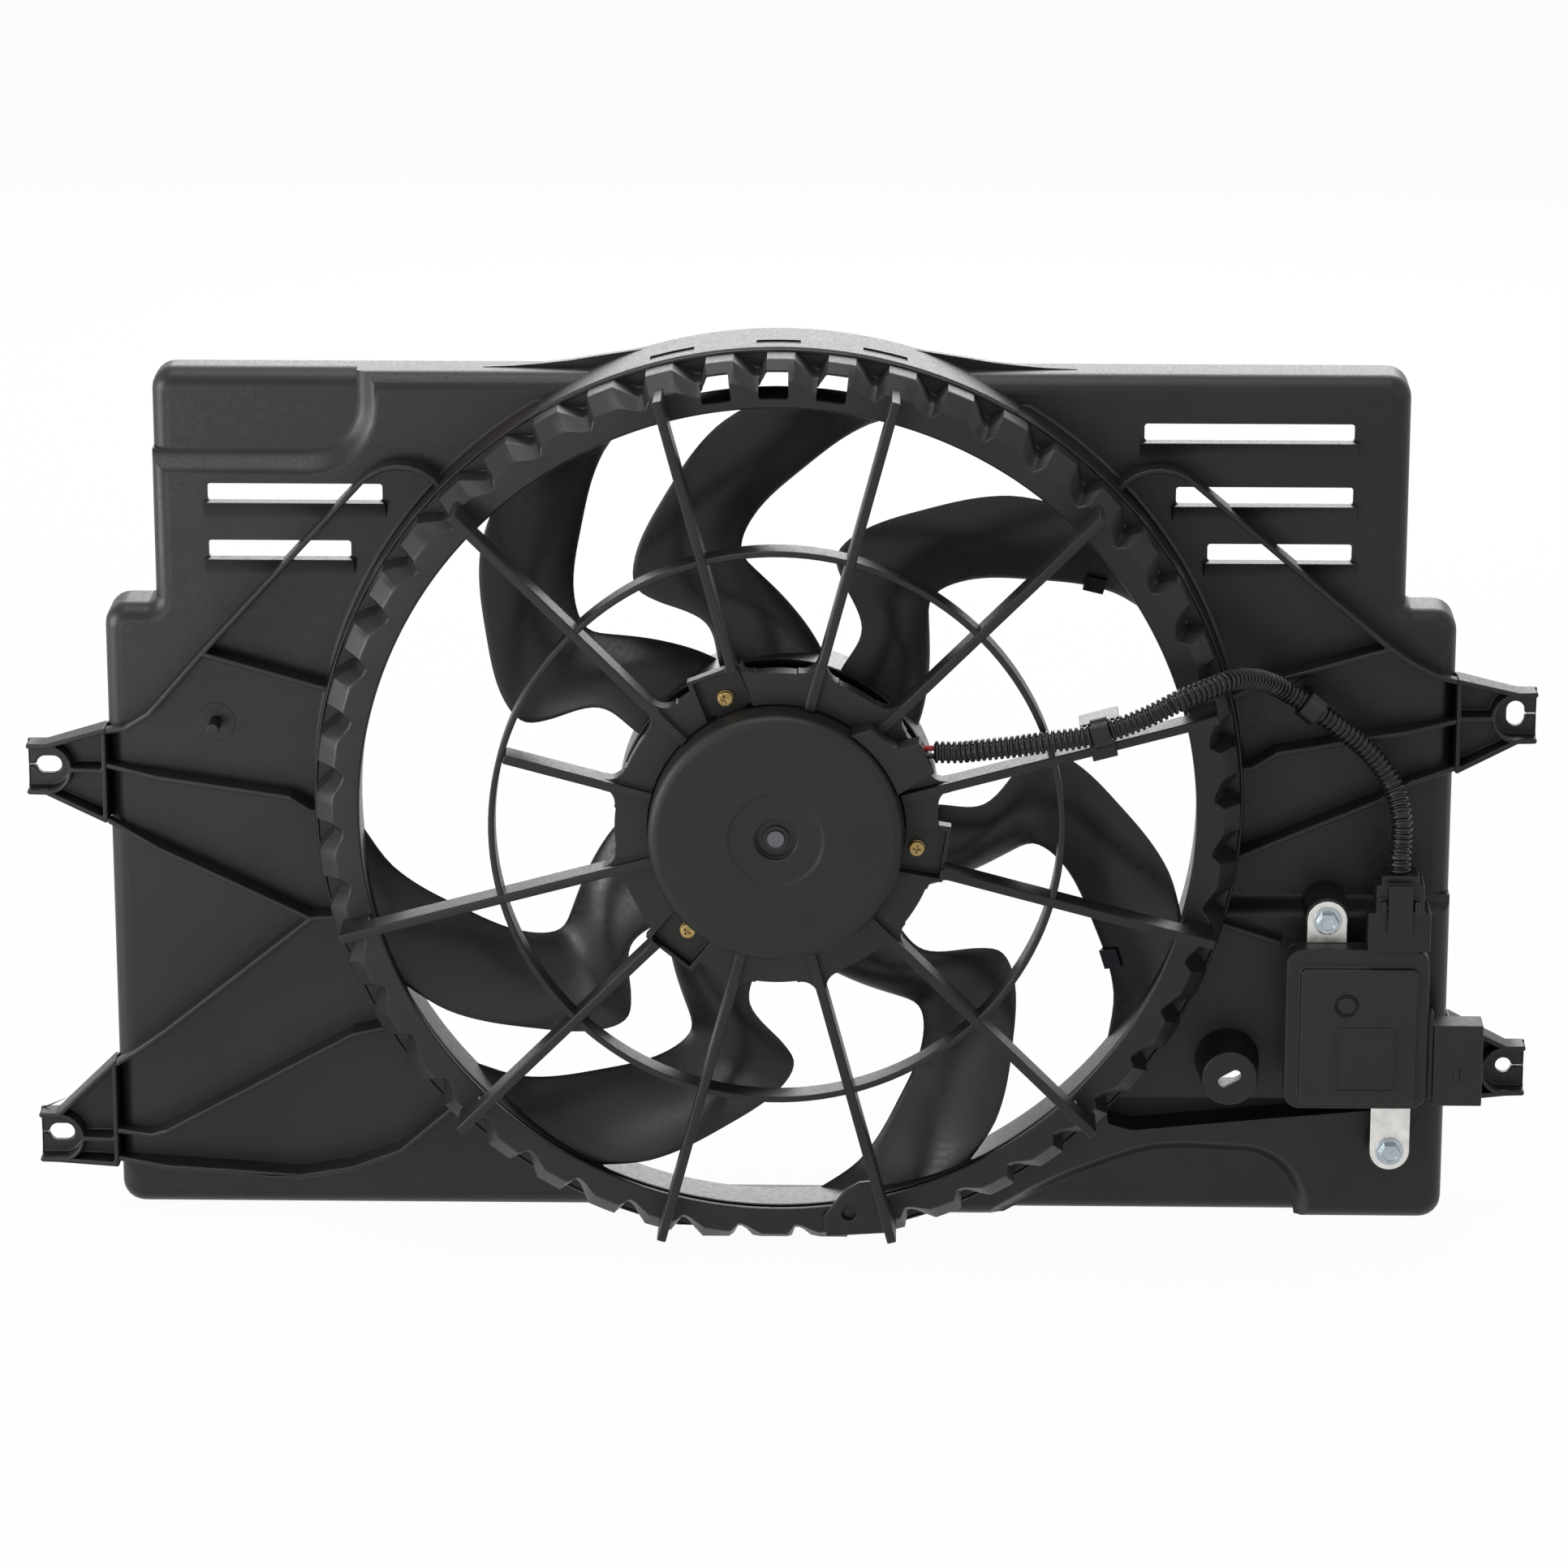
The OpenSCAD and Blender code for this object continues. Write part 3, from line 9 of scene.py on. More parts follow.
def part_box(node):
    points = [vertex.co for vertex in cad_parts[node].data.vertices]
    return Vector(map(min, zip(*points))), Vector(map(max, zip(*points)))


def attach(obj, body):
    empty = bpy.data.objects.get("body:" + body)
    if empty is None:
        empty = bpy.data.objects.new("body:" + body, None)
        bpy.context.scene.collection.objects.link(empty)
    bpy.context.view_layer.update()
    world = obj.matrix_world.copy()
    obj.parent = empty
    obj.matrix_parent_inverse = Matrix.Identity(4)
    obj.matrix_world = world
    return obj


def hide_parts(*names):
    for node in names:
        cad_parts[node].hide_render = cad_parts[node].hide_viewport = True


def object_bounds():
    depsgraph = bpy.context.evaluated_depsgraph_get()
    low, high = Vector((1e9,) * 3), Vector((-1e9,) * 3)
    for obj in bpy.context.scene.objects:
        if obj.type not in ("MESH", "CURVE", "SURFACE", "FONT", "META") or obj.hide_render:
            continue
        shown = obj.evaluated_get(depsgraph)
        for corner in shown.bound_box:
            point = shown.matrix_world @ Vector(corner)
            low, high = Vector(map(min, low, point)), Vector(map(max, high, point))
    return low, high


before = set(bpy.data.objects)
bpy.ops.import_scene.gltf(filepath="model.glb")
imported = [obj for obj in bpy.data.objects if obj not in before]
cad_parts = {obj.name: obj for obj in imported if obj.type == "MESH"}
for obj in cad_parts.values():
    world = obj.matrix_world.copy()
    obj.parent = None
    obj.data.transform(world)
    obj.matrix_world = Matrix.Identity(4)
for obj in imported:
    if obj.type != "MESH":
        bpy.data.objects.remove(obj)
cad_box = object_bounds()

# View and light
# The camera stands where the photograph was taken from: three metres away, a little to the
# right and 17 degrees above, with a long lens. The room is a white studio with soft lamps.

target = Vector((0.00323, -0.075, 0.01645))
turn, climb, far = math.radians(1.167), math.radians(16.95), 3.0
back = Vector((math.sin(turn) * math.cos(climb), -math.cos(turn) * math.cos(climb),
               math.sin(climb)))
camera = bpy.data.objects.new("camera", bpy.data.cameras.new("camera"))
camera.data.lens = 144.4
camera.data.sensor_width = 36.0
camera.location = target + back * far
camera.rotation_euler = (-back).to_track_quat("-Z", "Y").to_euler()
bpy.context.scene.collection.objects.link(camera)
bpy.context.scene.camera = camera
bpy.context.scene.view_settings.view_transform = "Standard"


def node(tree, kind, inputs=(), **settings):
    """Adds a shader node with its settings, values and links."""
    made = tree.nodes.new(kind)
    for name, value in settings.items():
        setattr(made, name, value)
    for name, value in dict(inputs).items():
        if isinstance(value, bpy.types.NodeSocket):
            tree.links.new(value, made.inputs[name])
        else:
            made.inputs[name].default_value = value
    return made


def seen_directly(tree):
    """1 for what the camera sees, also in gloss and through glass."""
    path = node(tree, "ShaderNodeLightPath")
    gloss = node(tree, "ShaderNodeMath", {0: path.outputs["Is Camera Ray"],
                 1: path.outputs["Is Glossy Ray"]}, operation="MAXIMUM")
    return node(tree, "ShaderNodeMath", {0: gloss.outputs[0],
                1: path.outputs["Is Transmission Ray"]}, operation="MAXIMUM").outputs[0]


# The room lights the object dimly and warmly, and looks white where it is seen.
room = bpy.data.worlds.new("white_studio")
room.use_nodes = True
tree = room.node_tree
room_light = tree.nodes["Background"]
room_light.inputs["Color"].default_value = (1.0, 0.98, 0.95, 1.0)
room_light.inputs["Strength"].default_value = 0.27
room_white = node(tree, "ShaderNodeBackground", {"Color": (1, 1, 1, 1), "Strength": 1.0})
room_mix = node(tree, "ShaderNodeMixShader", {0: seen_directly(tree),
                1: room_light.outputs[0], 2: room_white.outputs[0]})
tree.links.new(room_mix.outputs[0], tree.nodes["World Output"].inputs["Surface"])
bpy.context.scene.world = room

# Each lamp's name, place in metres, width and power. The ones behind and above draw the upper
# edges, the left one fills the rounded edges, and the low one lightens the foot of the pan.
lamps = (("lamp_behind", (0.1, 2.0, 1.0), 1.6, 30), ("lamp_above", (-0.2, -0.2, 1.5), 1.0, 11),
         ("lamp_left", (-1.7, -0.5, 0.2), 0.9, 26), ("lamp_right", (1.5, -1.3, 0.7), 0.9, 2),
         ("lamp_low", (-0.7, -1.4, -0.15), 0.5, 7))
for name, place, size, power in lamps:
    lamp = bpy.data.objects.new(name, bpy.data.lights.new(name, "AREA"))
    lamp.data.size = size
    lamp.data.energy = power
    lamp.location = place
    lamp.rotation_euler = (Vector((0, 0, 0)) - Vector(place)).to_track_quat("-Z", "Y").to_euler()
    bpy.context.scene.collection.objects.link(lamp)

# The floor lies half a millimetre below the object.
sheet = bmesh.new()
bmesh.ops.create_grid(sheet, x_segments=1, y_segments=1, size=6)
bmesh.ops.translate(sheet, verts=sheet.verts, vec=(0, 0, cad_box[0].z - 0.0005))
floor = bpy.data.objects.new("studio_floor", bpy.data.meshes.new("studio_floor"))
sheet.to_mesh(floor.data)
sheet.free()
bpy.context.scene.collection.objects.link(floor)
# Paper that glows for the camera but still takes a little of the object's shadow.
paper = bpy.data.materials.new("white_paper")
paper.use_nodes = True
tree = paper.node_tree
glow = node(tree, "ShaderNodeEmission", {"Color": (1, 1, 1, 1), "Strength": 1.0})
glow_share = 0.96
share = node(tree, "ShaderNodeMath", {0: seen_directly(tree), 1: glow_share},
             operation="MULTIPLY")
tree.nodes["Principled BSDF"].inputs["Base Color"].default_value = (0.8, 0.8, 0.8, 1)
tree.nodes["Principled BSDF"].inputs["Roughness"].default_value = 0.9
paper_mix = node(tree, "ShaderNodeMixShader", {0: share.outputs[0],
                 1: tree.nodes["Principled BSDF"].outputs[0], 2: glow.outputs[0]})
tree.links.new(paper_mix.outputs[0], tree.nodes["Material Output"].inputs["Surface"])
floor.data.materials.append(paper)

# Shroud pan
# One injection moulding in black glass-filled polypropylene, 2.5 mm thick, with soft steps for
# the corner pocket and the module's platform. Its fine spark-eroded skin is nearly matt.

mm = 0.001


def colour(code):
    """A colour written as sRGB hex, as the linear values of a shader."""
    parts = [int(code[i:i + 2], 16) / 255 for i in (1, 3, 5)]
    return [c / 12.92 if c <= 0.04045 else ((c + 0.055) / 1.055) ** 2.4 for c in parts] + [1]


def blank_material(name):
    """A new material, its node tree, its shader and its object coordinates."""
    made = bpy.data.materials.new(name)
    made.use_nodes = True
    tree = made.node_tree
    place = node(tree, "ShaderNodeTexCoord").outputs["Object"]
    return made, tree, tree.nodes["Principled BSDF"], place


def moulded(name, dark, light, rough, grain, relief, flow=60):
    """Moulded plastic: sparks of a grain size and relief in mm, and a slow mottle of the skin.
    The low specular level stands for the light that the grain swallows."""
    made, tree, shader, place = blank_material(name)
    mottle = node(tree, "ShaderNodeTexNoise", {"Vector": place, "Scale": 1 / (flow * mm),
                  "Detail": 4, "Roughness": 0.6})
    spark = node(tree, "ShaderNodeTexNoise", {"Vector": place, "Scale": 1 / (grain * mm),
                 "Detail": 2})
    blend = node(tree, "ShaderNodeMapRange", {"Value": mottle.outputs["Fac"], "From Min": 0.35,
                 "From Max": 0.65})
    mix = node(tree, "ShaderNodeMix", {0: blend.outputs[0], 6: colour(dark), 7: colour(light)},
               data_type="RGBA")
    gloss = node(tree, "ShaderNodeMapRange", {"Value": spark.outputs["Fac"], "From Min": 0.3,
                 "From Max": 0.7, "To Min": rough - 0.05, "To Max": rough + 0.06})
    bump = node(tree, "ShaderNodeBump", {"Height": spark.outputs["Fac"], "Strength": 0.6,
                "Distance": relief * mm})
    shader.inputs["Specular IOR Level"].default_value = 0.33
    tree.links.new(mix.outputs[2], shader.inputs["Base Color"])
    tree.links.new(gloss.outputs[0], shader.inputs["Roughness"])
    tree.links.new(bump.outputs[0], shader.inputs["Normal"])
    return made


# Glass-filled polypropylene: a warm black whose grain spreads the light, so that faces stay
# calm and only rounded edges and soft steps shine.
shroud_skin = moulded("glass_filled_polypropylene", "#141210", "#1d1a18", 0.42, 1.6, 0.05)


def put(x, front, z):
    """A place by its distance to the right, in front of the rim, and up, in mm."""
    return Vector((x, -front, z)) * mm


def outline(corners, front):
    """A flat face with rounded corners, each given as x, z and the length of its rounding."""
    shape = bmesh.new()
    points = [shape.verts.new(put(x, front, z)) for x, z, r in corners]
    shape.faces.new(points)
    for size in sorted({r for x, z, r in corners if r}):
        bmesh.ops.bevel(shape, geom=[v for v, c in zip(points, corners) if c[2] == size],
                        offset=size * mm, affect="VERTICES", segments=6, profile=0.5,
                        material=-1, offset_type="OFFSET")
    shape.normal_update()
    return shape


def grow(shape, face, steps):
    """Extrudes a face by a length, or insets it by a width with a rise, step after step."""
    for width, rise in steps:
        if width == 0:
            made = bmesh.ops.extrude_face_region(shape, geom=[face])
            face = next(f for f in made["geom"] if isinstance(f, bmesh.types.BMFace))
            bmesh.ops.translate(shape, verts=list(face.verts), vec=face.normal * rise * mm)
        else:
            bmesh.ops.inset_region(shape, faces=[face], thickness=width * mm,
                                   depth=rise * mm, use_even_offset=True, use_boundary=True)
    return face


def quarter(radius, count=6):
    """Steps of a quarter circle from a wall over to a face."""
    turns = [math.pi / 2 * k / count for k in range(count + 1)]
    return [(radius * (math.cos(a) - math.cos(b)), radius * (math.sin(b) - math.sin(a)))
            for a, b in zip(turns, turns[1:])]


def soft_step(width, height, count=8):
    """Steps of an S-shaped slope."""
    rises = [height * (3 * t * t - 2 * t * t * t) for t in (k / count for k in range(count + 1))]
    return [(width / count, b - a) for a, b in zip(rises, rises[1:])]


def solid(corners, front, steps):
    """A closed shape grown forwards from a rounded outline."""
    shape = outline(corners, front)
    shape.faces.ensure_lookup_table()
    grow(shape, shape.faces[0], steps)
    bmesh.ops.recalc_face_normals(shape, faces=shape.faces)
    return shape


def combine(first, second, operation):
    """The union, difference or intersection of two closed shapes."""
    made = []
    for shape in (first, second):
        mesh = bpy.data.meshes.new("shape")
        shape.to_mesh(mesh)
        shape.free()
        made.append(bpy.data.objects.new("shape", mesh))
        bpy.context.scene.collection.objects.link(made[-1])
    cut = made[0].modifiers.new("cut", "BOOLEAN")
    cut.operation = operation
    cut.object = made[1]
    cut.solver = "MANIFOLD"
    result = bmesh.new()
    result.from_object(made[0], bpy.context.evaluated_depsgraph_get())
    for old in made:
        bpy.data.objects.remove(old)
    return result


def piece(name, shape, body, material, slot, *nodes, angle=35):
    """A finished piece of the object: smooth, with flat faces kept flat and sharp edges sharp."""
    mesh = bpy.data.meshes.new(name)
    for face in shape.faces:
        face.smooth = True
    for edge in shape.edges:
        if len(edge.link_faces) == 2:
            edge.smooth = edge.calc_face_angle(0) < math.radians(angle)
    shape.to_mesh(mesh)
    shape.free()
    made = bpy.data.objects.new(name, mesh)
    bpy.context.scene.collection.objects.link(made)
    mesh.materials.append(material)
    weighted = made.modifiers.new("flat_faces", "WEIGHTED_NORMAL")
    weighted.keep_sharp = True
    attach(made, body)
    if nodes:
        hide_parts(*nodes)
    return made


# Sizes in mm, with faces and edges as distances from the rim. Cutters run far beyond what they
# cut, and the pan laps under the edge of the barrel.
half_w, step_w = 326, 301
top, bottom, shoulder = 205, -218, 90
face, pocket_face, platform_face, wall = 28, 20, 38, 2.5
pan_edge, corner_r, inner_corner_r = 9, 11, 4
pocket_w, pocket_h, pocket_r = 110, 50, 34
collar_r, arch_r, arch_back, arch_half = 223.8, 224, 9, 30.5
beyond, lap = 50, 0.5


def pan_corners(inset):
    """The pan's outline inside its walls by an inset."""
    wide, narrow, r = half_w - inset, step_w - inset, corner_r - inset
    step, high, low = shoulder - inset, top - inset, bottom + inset
    return [(-wide, low, r), (wide, low, r), (wide, step, r), (narrow, step, inner_corner_r),
            (narrow, high, r), (-narrow, high, r), (-narrow, step, inner_corner_r),
            (-wide, step, r)]


def pan_shape(inset):
    """The pan as a solid: three levels of the same outline, joined by soft steps. The solid
    that hollows it is inset by the wall and starts a little behind the rim."""
    edge = pan_edge - inset
    start = -1 if inset else 0
    levels = [solid(pan_corners(inset), start,
                    [(0, level - inset - edge - start)] + quarter(edge))
              for level in (face, pocket_face, platform_face)]
    whole, low_level, platform = levels
    x, z = -step_w + pocket_w + inset, top - pocket_h - inset
    left, high = x - 3 * beyond, z + 2 * beyond
    pocket = solid([(left, high, 0), (x, high, 0), (x, z, pocket_r), (left, z, 0)],
                   40, [(0, 12 + inset)] + soft_step(11, face - pocket_face) + [(0.01, 12)])
    whole = combine(whole, pocket, "DIFFERENCE")
    whole = combine(whole, low_level, "UNION")
    foot = [(60, -52, 0), (60, -251, 0), (104, -222, 6), (137, -203, 14),
            (178, -187, 12), (194, -185, 8), (238, -187, 9), (252, -202, 9), (257, -240, 0),
            (345, -240, 0), (345, -52, 0)]
    foot = [(x + inset * 0.5, z, r) for x, z, r in foot]
    mask = solid(foot, 5, [(0, face - 5 - inset)] + soft_step(9, platform_face - face)
                 + [(0.01, 12)])
    platform = combine(platform, mask, "INTERSECT")
    whole = combine(whole, platform, "UNION")
    out = inset
    trench = solid([(161 - out, -168 - out, 2), (173, -171.5 - out, 2), (239, -165 - out, 5),
                    (294 + out, -160 - out, 1), (296 + out, -154 + out, 1),
                    (161 - out, -154 + out, 3)], 18 - inset, [(0, 40)])
    return combine(whole, trench, "DIFFERENCE")


def drum(radius, start, end, sides=192):
    """A closed cylinder round the fan's axis between two distances from the rim."""
    shape = bmesh.new()
    bmesh.ops.create_cone(shape, cap_ends=True, segments=sides, radius1=radius * mm,
                          radius2=radius * mm, depth=(end - start) * mm,
                          matrix=Matrix.Translation(put(0, (start + end) / 2, 0))
                          @ Matrix.Rotation(math.pi / 2, 4, "X"))
    return shape


def block(x0, x1, start, end, z0, z1, rounding=0):
    """A closed box, with its four long edges rounded where it says so."""
    return solid([(x0, z0, rounding), (x1, z0, rounding), (x1, z1, rounding),
                  (x0, z1, rounding)], start, [(0, end - start)])


def arch_corners(radius, inset):
    """The outline of the arch over the top of the barrel, as a sector with its sides inset."""
    edge, foot_r = math.radians(90 - arch_half), 150
    side = inset / math.sin(edge)
    reach = radius * math.cos(edge) - side
    foot_x, foot_z = foot_r * math.cos(edge) - side, foot_r * math.sin(edge)
    points = [(radius * math.cos(a), radius * math.sin(a))
              for a in (edge + (math.pi - 2 * edge) * k / 40 for k in range(41))]
    return [(foot_x, foot_z, 0)] + [(max(min(x, reach), -reach), z, 0) for x, z in points] + [
        (-foot_x, foot_z, 0)]


pan = combine(pan_shape(0), pan_shape(wall), "DIFFERENCE")
pan = combine(pan, drum(collar_r - lap, face - 3, 60), "DIFFERENCE")
pan = combine(pan, solid(arch_corners(arch_r - lap, 0), arch_back, [(0, beyond)]),
              "DIFFERENCE")

# Air vents, each as left end, right end and upper edge, with a wedge-shaped lip below it.
end = step_w - 27
vents = [(-end, 84 - end, 151), (-end, 68.5 - end, 123), (end - 100, end, 182.5),
         (end - 84.5, end, 151.5), (end - 69, end, 123.5)]
vent_h, lip_rise, lip_foot = 8.5, 5, face - wall + 0.1
for left, right, high in vents:
    lip = bmesh.new()
    lip.faces.new([lip.verts.new(put(left - 2, front, high - z)) for front, z in
                   ((lip_foot, vent_h), (face + lip_rise, vent_h), (face, 2 * vent_h),
                    (lip_foot, 2 * vent_h))])
    lip.normal_update()
    made = bmesh.ops.extrude_face_region(lip, geom=lip.faces[:])
    bmesh.ops.translate(lip, verts=[g for g in made["geom"] if isinstance(g, bmesh.types.BMVert)],
                        vec=((right - left + 4) * mm, 0, 0))
    bmesh.ops.recalc_face_normals(lip, faces=lip.faces)
    crest = [e for e in lip.edges
             if min(v.co.y for v in e.verts) < -(face + lip_rise - 0.1) * mm]
    bmesh.ops.bevel(lip, geom=crest, offset=0.9 * mm, affect="EDGES", segments=3, profile=0.5,
                    material=-1)
    pan = combine(pan, lip, "UNION")
    pan = combine(pan, block(left, right, -2, beyond, high - vent_h, high, 1.5), "DIFFERENCE")


def post(x, z, start, end, foot_r, tip_r, edge=1.2):
    """A round boss with a tapered side and a rounded front edge."""
    shape = bmesh.new()
    bmesh.ops.create_cone(shape, cap_ends=True, segments=48, radius1=tip_r * mm,
                          radius2=foot_r * mm, depth=(end - start) * mm,
                          matrix=Matrix.Translation(put(x, (start + end) / 2, z))
                          @ Matrix.Rotation(-math.pi / 2, 4, "X"))
    rim = [e for e in shape.edges if max(v.co.y for v in e.verts) < -(end - 0.1) * mm]
    bmesh.ops.bevel(shape, geom=rim, offset=edge * mm, affect="EDGES", segments=3,
                    profile=0.5, material=-1)
    return shape


# The spare boss, the two bosses of the module, and a small disc with a pin on the left.
spare_x, spare_z, spare_front = 219, -134, 67
pin_x, pin_z = -273, 32
for boss in (post(spare_x, spare_z, 36, spare_front, 15.9, 13.6),
             post(265, -56, 26, 56, 10.8, 10.5, 0.5), post(298, -174, 36, 56, 10.8, 10.5, 0.5),
             post(pin_x, pin_z, 26, 28.25, 9.6, 9.5, 0.2),
             post(pin_x, pin_z, 26, 42, 3, 2.8, 0.4)):
    pan = combine(pan, boss, "UNION")

# The spare boss is hollow behind a front wall, which has an oblong slot on a slant.
hollow = drum(11, -2, spare_front - wall, 48)
bmesh.ops.translate(hollow, verts=hollow.verts, vec=put(spare_x, 0, spare_z))
pan = combine(pan, hollow, "DIFFERENCE")
spare_slot = block(spare_x - 6, spare_x + 6, -2, 80, spare_z - 2.75, spare_z + 2.75, 2.6)
bmesh.ops.rotate(spare_slot, verts=spare_slot.verts, cent=put(spare_x, 0, spare_z),
                 matrix=Matrix.Rotation(math.radians(-30), 3, "Y"))
pan = combine(pan, spare_slot, "DIFFERENCE")
piece("shroud_pan_moulding", pan, "shroud", shroud_skin, "shroud_plastic", "shroud_panel",
      angle=40)

# Fan barrel, collar and arch
# The same moulding turned up round the fan: a plain inner wall, a flat lip, a saw-toothed outer
# wall that slopes back to the collar, and an arch with slots over the top. It is cut flat at
# the pan's bottom.

teeth, tooth_h, first_tooth = 48, 8.3, 2.8
tooth_parts = (0.0, 0.08, 0.2, 0.35, 0.5, 0.65, 0.8, 0.87, 0.93, 0.97)
tooth_rise = (0.0, 0.16, 0.55, 1.0, 1.0, 1.0, 1.0, 0.5, 0.0, 0.0)
# The section, from the opening over the lip to the pan and back inside: radius at the root,
# distance from the rim, share of the tooth's height, and 1 on the collar's bead.
outer_stations = [
    (200, 72.6, 0, 0), (200, 73.6, 0, 0), (200.3, 74.5, 0, 0), (201, 75, 0, 0),
    (208, 75, 0.5, 0), (208.7, 74.6, 0.53, 0), (209.3, 73.6, 0.56, 0), (213.1, 65.5, 0.96, 0),
    (213.3, 64.6, 1, 0), (213.5, 63, 1, 0), (213.8, 52, 1, 0), (214.2, 50.5, 0.98, 0),
    (215, 50, 0.88, 0), (221.9, 50, 0.05, 0), (222.3, 50.3, 0, 1), (222.7, 50.5, 0, 1),
    (223.3, 50.3, 0, 1), (223.8, 49.6, 0, 0), (223.8, 30, 0, 0), (224.4, 28.7, 0, 0),
    (225.8, 28.1, 0, 0), (225.8, 25.6, 0, 0)]
inner_stations = [
    (221.3, 25.6, 0, 0), (221.3, 47.5, 0, 0), (211.6, 47.5, 0.9, 0), (211.2, 62, 0.9, 0),
    (206.5, 72.6, 0.5, 0)]
ring = bmesh.new()
loops = []
sides = teeth * len(tooth_parts)
for radius, front, tooth, bead in outer_stations + inner_stations:
    lowest = bottom + 0.2 + (0 if len(loops) < len(outer_stations) else wall)
    made = bmesh.ops.create_circle(ring, segments=sides, radius=1)["verts"]
    for k, v in enumerate(made):
        part = k % len(tooth_parts)
        tooth_place = k // len(tooth_parts) + tooth_parts[part]
        a = math.radians(first_tooth + tooth_place * 360 / teeth)
        r = radius + tooth_h * tooth * tooth_rise[part]
        arched = abs(math.degrees(a) % 360 - 90) < arch_half + 0.5
        r = min(r, arch_r - 0.8) if arched else r
        v.co = put(r * math.cos(a), front - (0.4 if arched else -0.3) * bead,
                   max(r * math.sin(a), lowest))
    loops.append(made)
for first, second in zip(loops, loops[1:] + loops[:1]):
    for k in range(sides):
        beside = (k + 1) % sides
        ring.faces.new((first[k], first[beside], second[beside], second[k]))
bmesh.ops.recalc_face_normals(ring, faces=ring.faces)

# The arch: a curved hood over the collar, hollow from behind, with a thin plate at its back.
arch_front, arch_edge = 50, 1.6
arch = solid(arch_corners(arch_r, 0), arch_back,
             [(0, arch_front - arch_back - arch_edge)] + quarter(arch_edge, 4))
arch = combine(arch, solid(arch_corners(arch_r - wall, wall), arch_back - 1,
               [(0, arch_front - 1.5 - arch_back)]), "DIFFERENCE")
arch = combine(arch, drum(collar_r - 2, -2, 60), "DIFFERENCE")
wing = [(142, 0.2), (128, 0.7), (114, 1.9), (101, 3.4), (88, 5.6), (69, 8.6)]
back_arc = [(arch_r * math.sin(a) * 0.998, arch_r * math.cos(a) * 0.998, 0)
            for a in (math.radians(15 - 30 * k / 20) for k in range(21))]
back_plate = solid([(142, top - 1.5, 0)] + [(x, top + z, 0) for x, z in wing] + back_arc
                   + [(-x, top + z, 0) for x, z in wing[::-1]] + [(-142, top - 1.5, 0)],
                   arch_back, [(0, 3.5)])
arch = combine(arch, back_plate, "UNION")
slot_half = 10.5
for x in (-50.5, 0, 50.5):
    slot = block(x - slot_half, x + slot_half, 34, 42, arch_r - 12, arch_r + 16)
    arch = combine(arch, slot, "DIFFERENCE")
edge_bead = [(r * math.sin(a), r * math.cos(a), 0) for r, way in ((223.2, 1), (221.4, -1))
             for a in (math.radians(30 * way * (1 - k / 20)) for k in range(41))]
arch = combine(arch, solid(edge_bead, 49, [(0, 1.3)] + quarter(0.6, 3)), "UNION")
barrel = combine(ring, arch, "UNION")

# Three windows through the lip at the top.
for turn_to in (7, -0.5, -8):
    window = block(-7, 7, 66, 80, 204.5, 217.5, 1.2)
    bmesh.ops.rotate(window, verts=window.verts, cent=(0, 0, 0),
                     matrix=Matrix.Rotation(math.radians(turn_to), 3, "Y"))
    barrel = combine(barrel, window, "DIFFERENCE")
piece("shroud_barrel_moulding", barrel, "shroud", shroud_skin, "shroud_plastic", "fan_barrel",
      angle=28)

# Stator, ribs and ears
# More of the same moulding: twelve arms and a ring hold the motor flange, and ribs carry the
# load from four slotted ears to the barrel. Their free edges are rounded by 0.8 mm, and where
# they run into each other they stay as they are.

ribs_at_walls = ("panel_ribs", "hook_rib_left", "hook_rib_right")
moulded_together = ribs_at_walls + (
    "stator_arms", "stator_ring", "motor_flange", "cable_tab", "ear_left_upper",
    "ear_left_lower", "ear_right_upper", "ear_right_lower")


def lower_foot(shape):
    """Lets the foot of a rib follow the rounded edge of the pan at its side walls."""
    for side in (-1, 1):
        bmesh.ops.bisect_plane(shape, geom=shape.verts[:] + shape.edges[:] + shape.faces[:],
                               plane_co=put(side * (half_w - pan_edge), 0, 0),
                               plane_no=(1, 0, 0))
    for v in shape.verts:
        if abs(v.co.x) > (half_w - 0.1) * mm and abs(v.co.y + face * mm) < 0.1 * mm:
            v.co.y += pan_edge * mm


def eased(name, width=0.5, segments=2, least=30, joined=()):
    """A merged copy of a CAD node with its sharp edges rounded by a width in mm, except the
    edges at which it runs into the nodes joined to it."""
    shape = bmesh.new()
    shape.from_mesh(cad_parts[name].data)
    bmesh.ops.remove_doubles(shape, verts=shape.verts, dist=0.004 * mm)
    bmesh.ops.dissolve_limit(shape, angle_limit=math.radians(0.8), verts=shape.verts,
                             edges=shape.edges)
    bmesh.ops.connect_verts_concave(shape, faces=shape.faces)
    if name in ribs_at_walls:
        lower_foot(shape)
    beside = [BVHTree.FromPolygons([v.co for v in mesh.vertices],
                                   [p.vertices for p in mesh.polygons])
              for mesh in (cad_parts[n].data for n in joined if n != name)]
    sharp = [e for e in shape.edges if len(e.link_faces) == 2
             and e.calc_face_angle(0) > math.radians(least)
             and not any(tree.find_nearest((e.verts[0].co + e.verts[1].co) / 2, 0.03 * mm)[0]
                         for tree in beside)]
    surface = BVHTree.FromBMesh(shape)
    bmesh.ops.bevel(shape, geom=sharp, offset=width * mm, affect="EDGES", segments=segments,
                    profile=0.5, material=-1, clamp_overlap=False)
    low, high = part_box(name)
    for v in shape.verts:
        place, _, _, away = surface.find_nearest(v.co)
        if away > width * mm:
            v.co = place
        v.co = [min(max(c, a), b) for c, a, b in zip(v.co, low, high)]
    return shape


for name in moulded_together:
    rounding = 0.4 if name == "motor_flange" else 0.8
    shape = eased(name, rounding, 3, joined=moulded_together + ("shroud_panel",))
    piece(name + "_moulding", shape, "shroud", shroud_skin, "shroud_plastic", name)

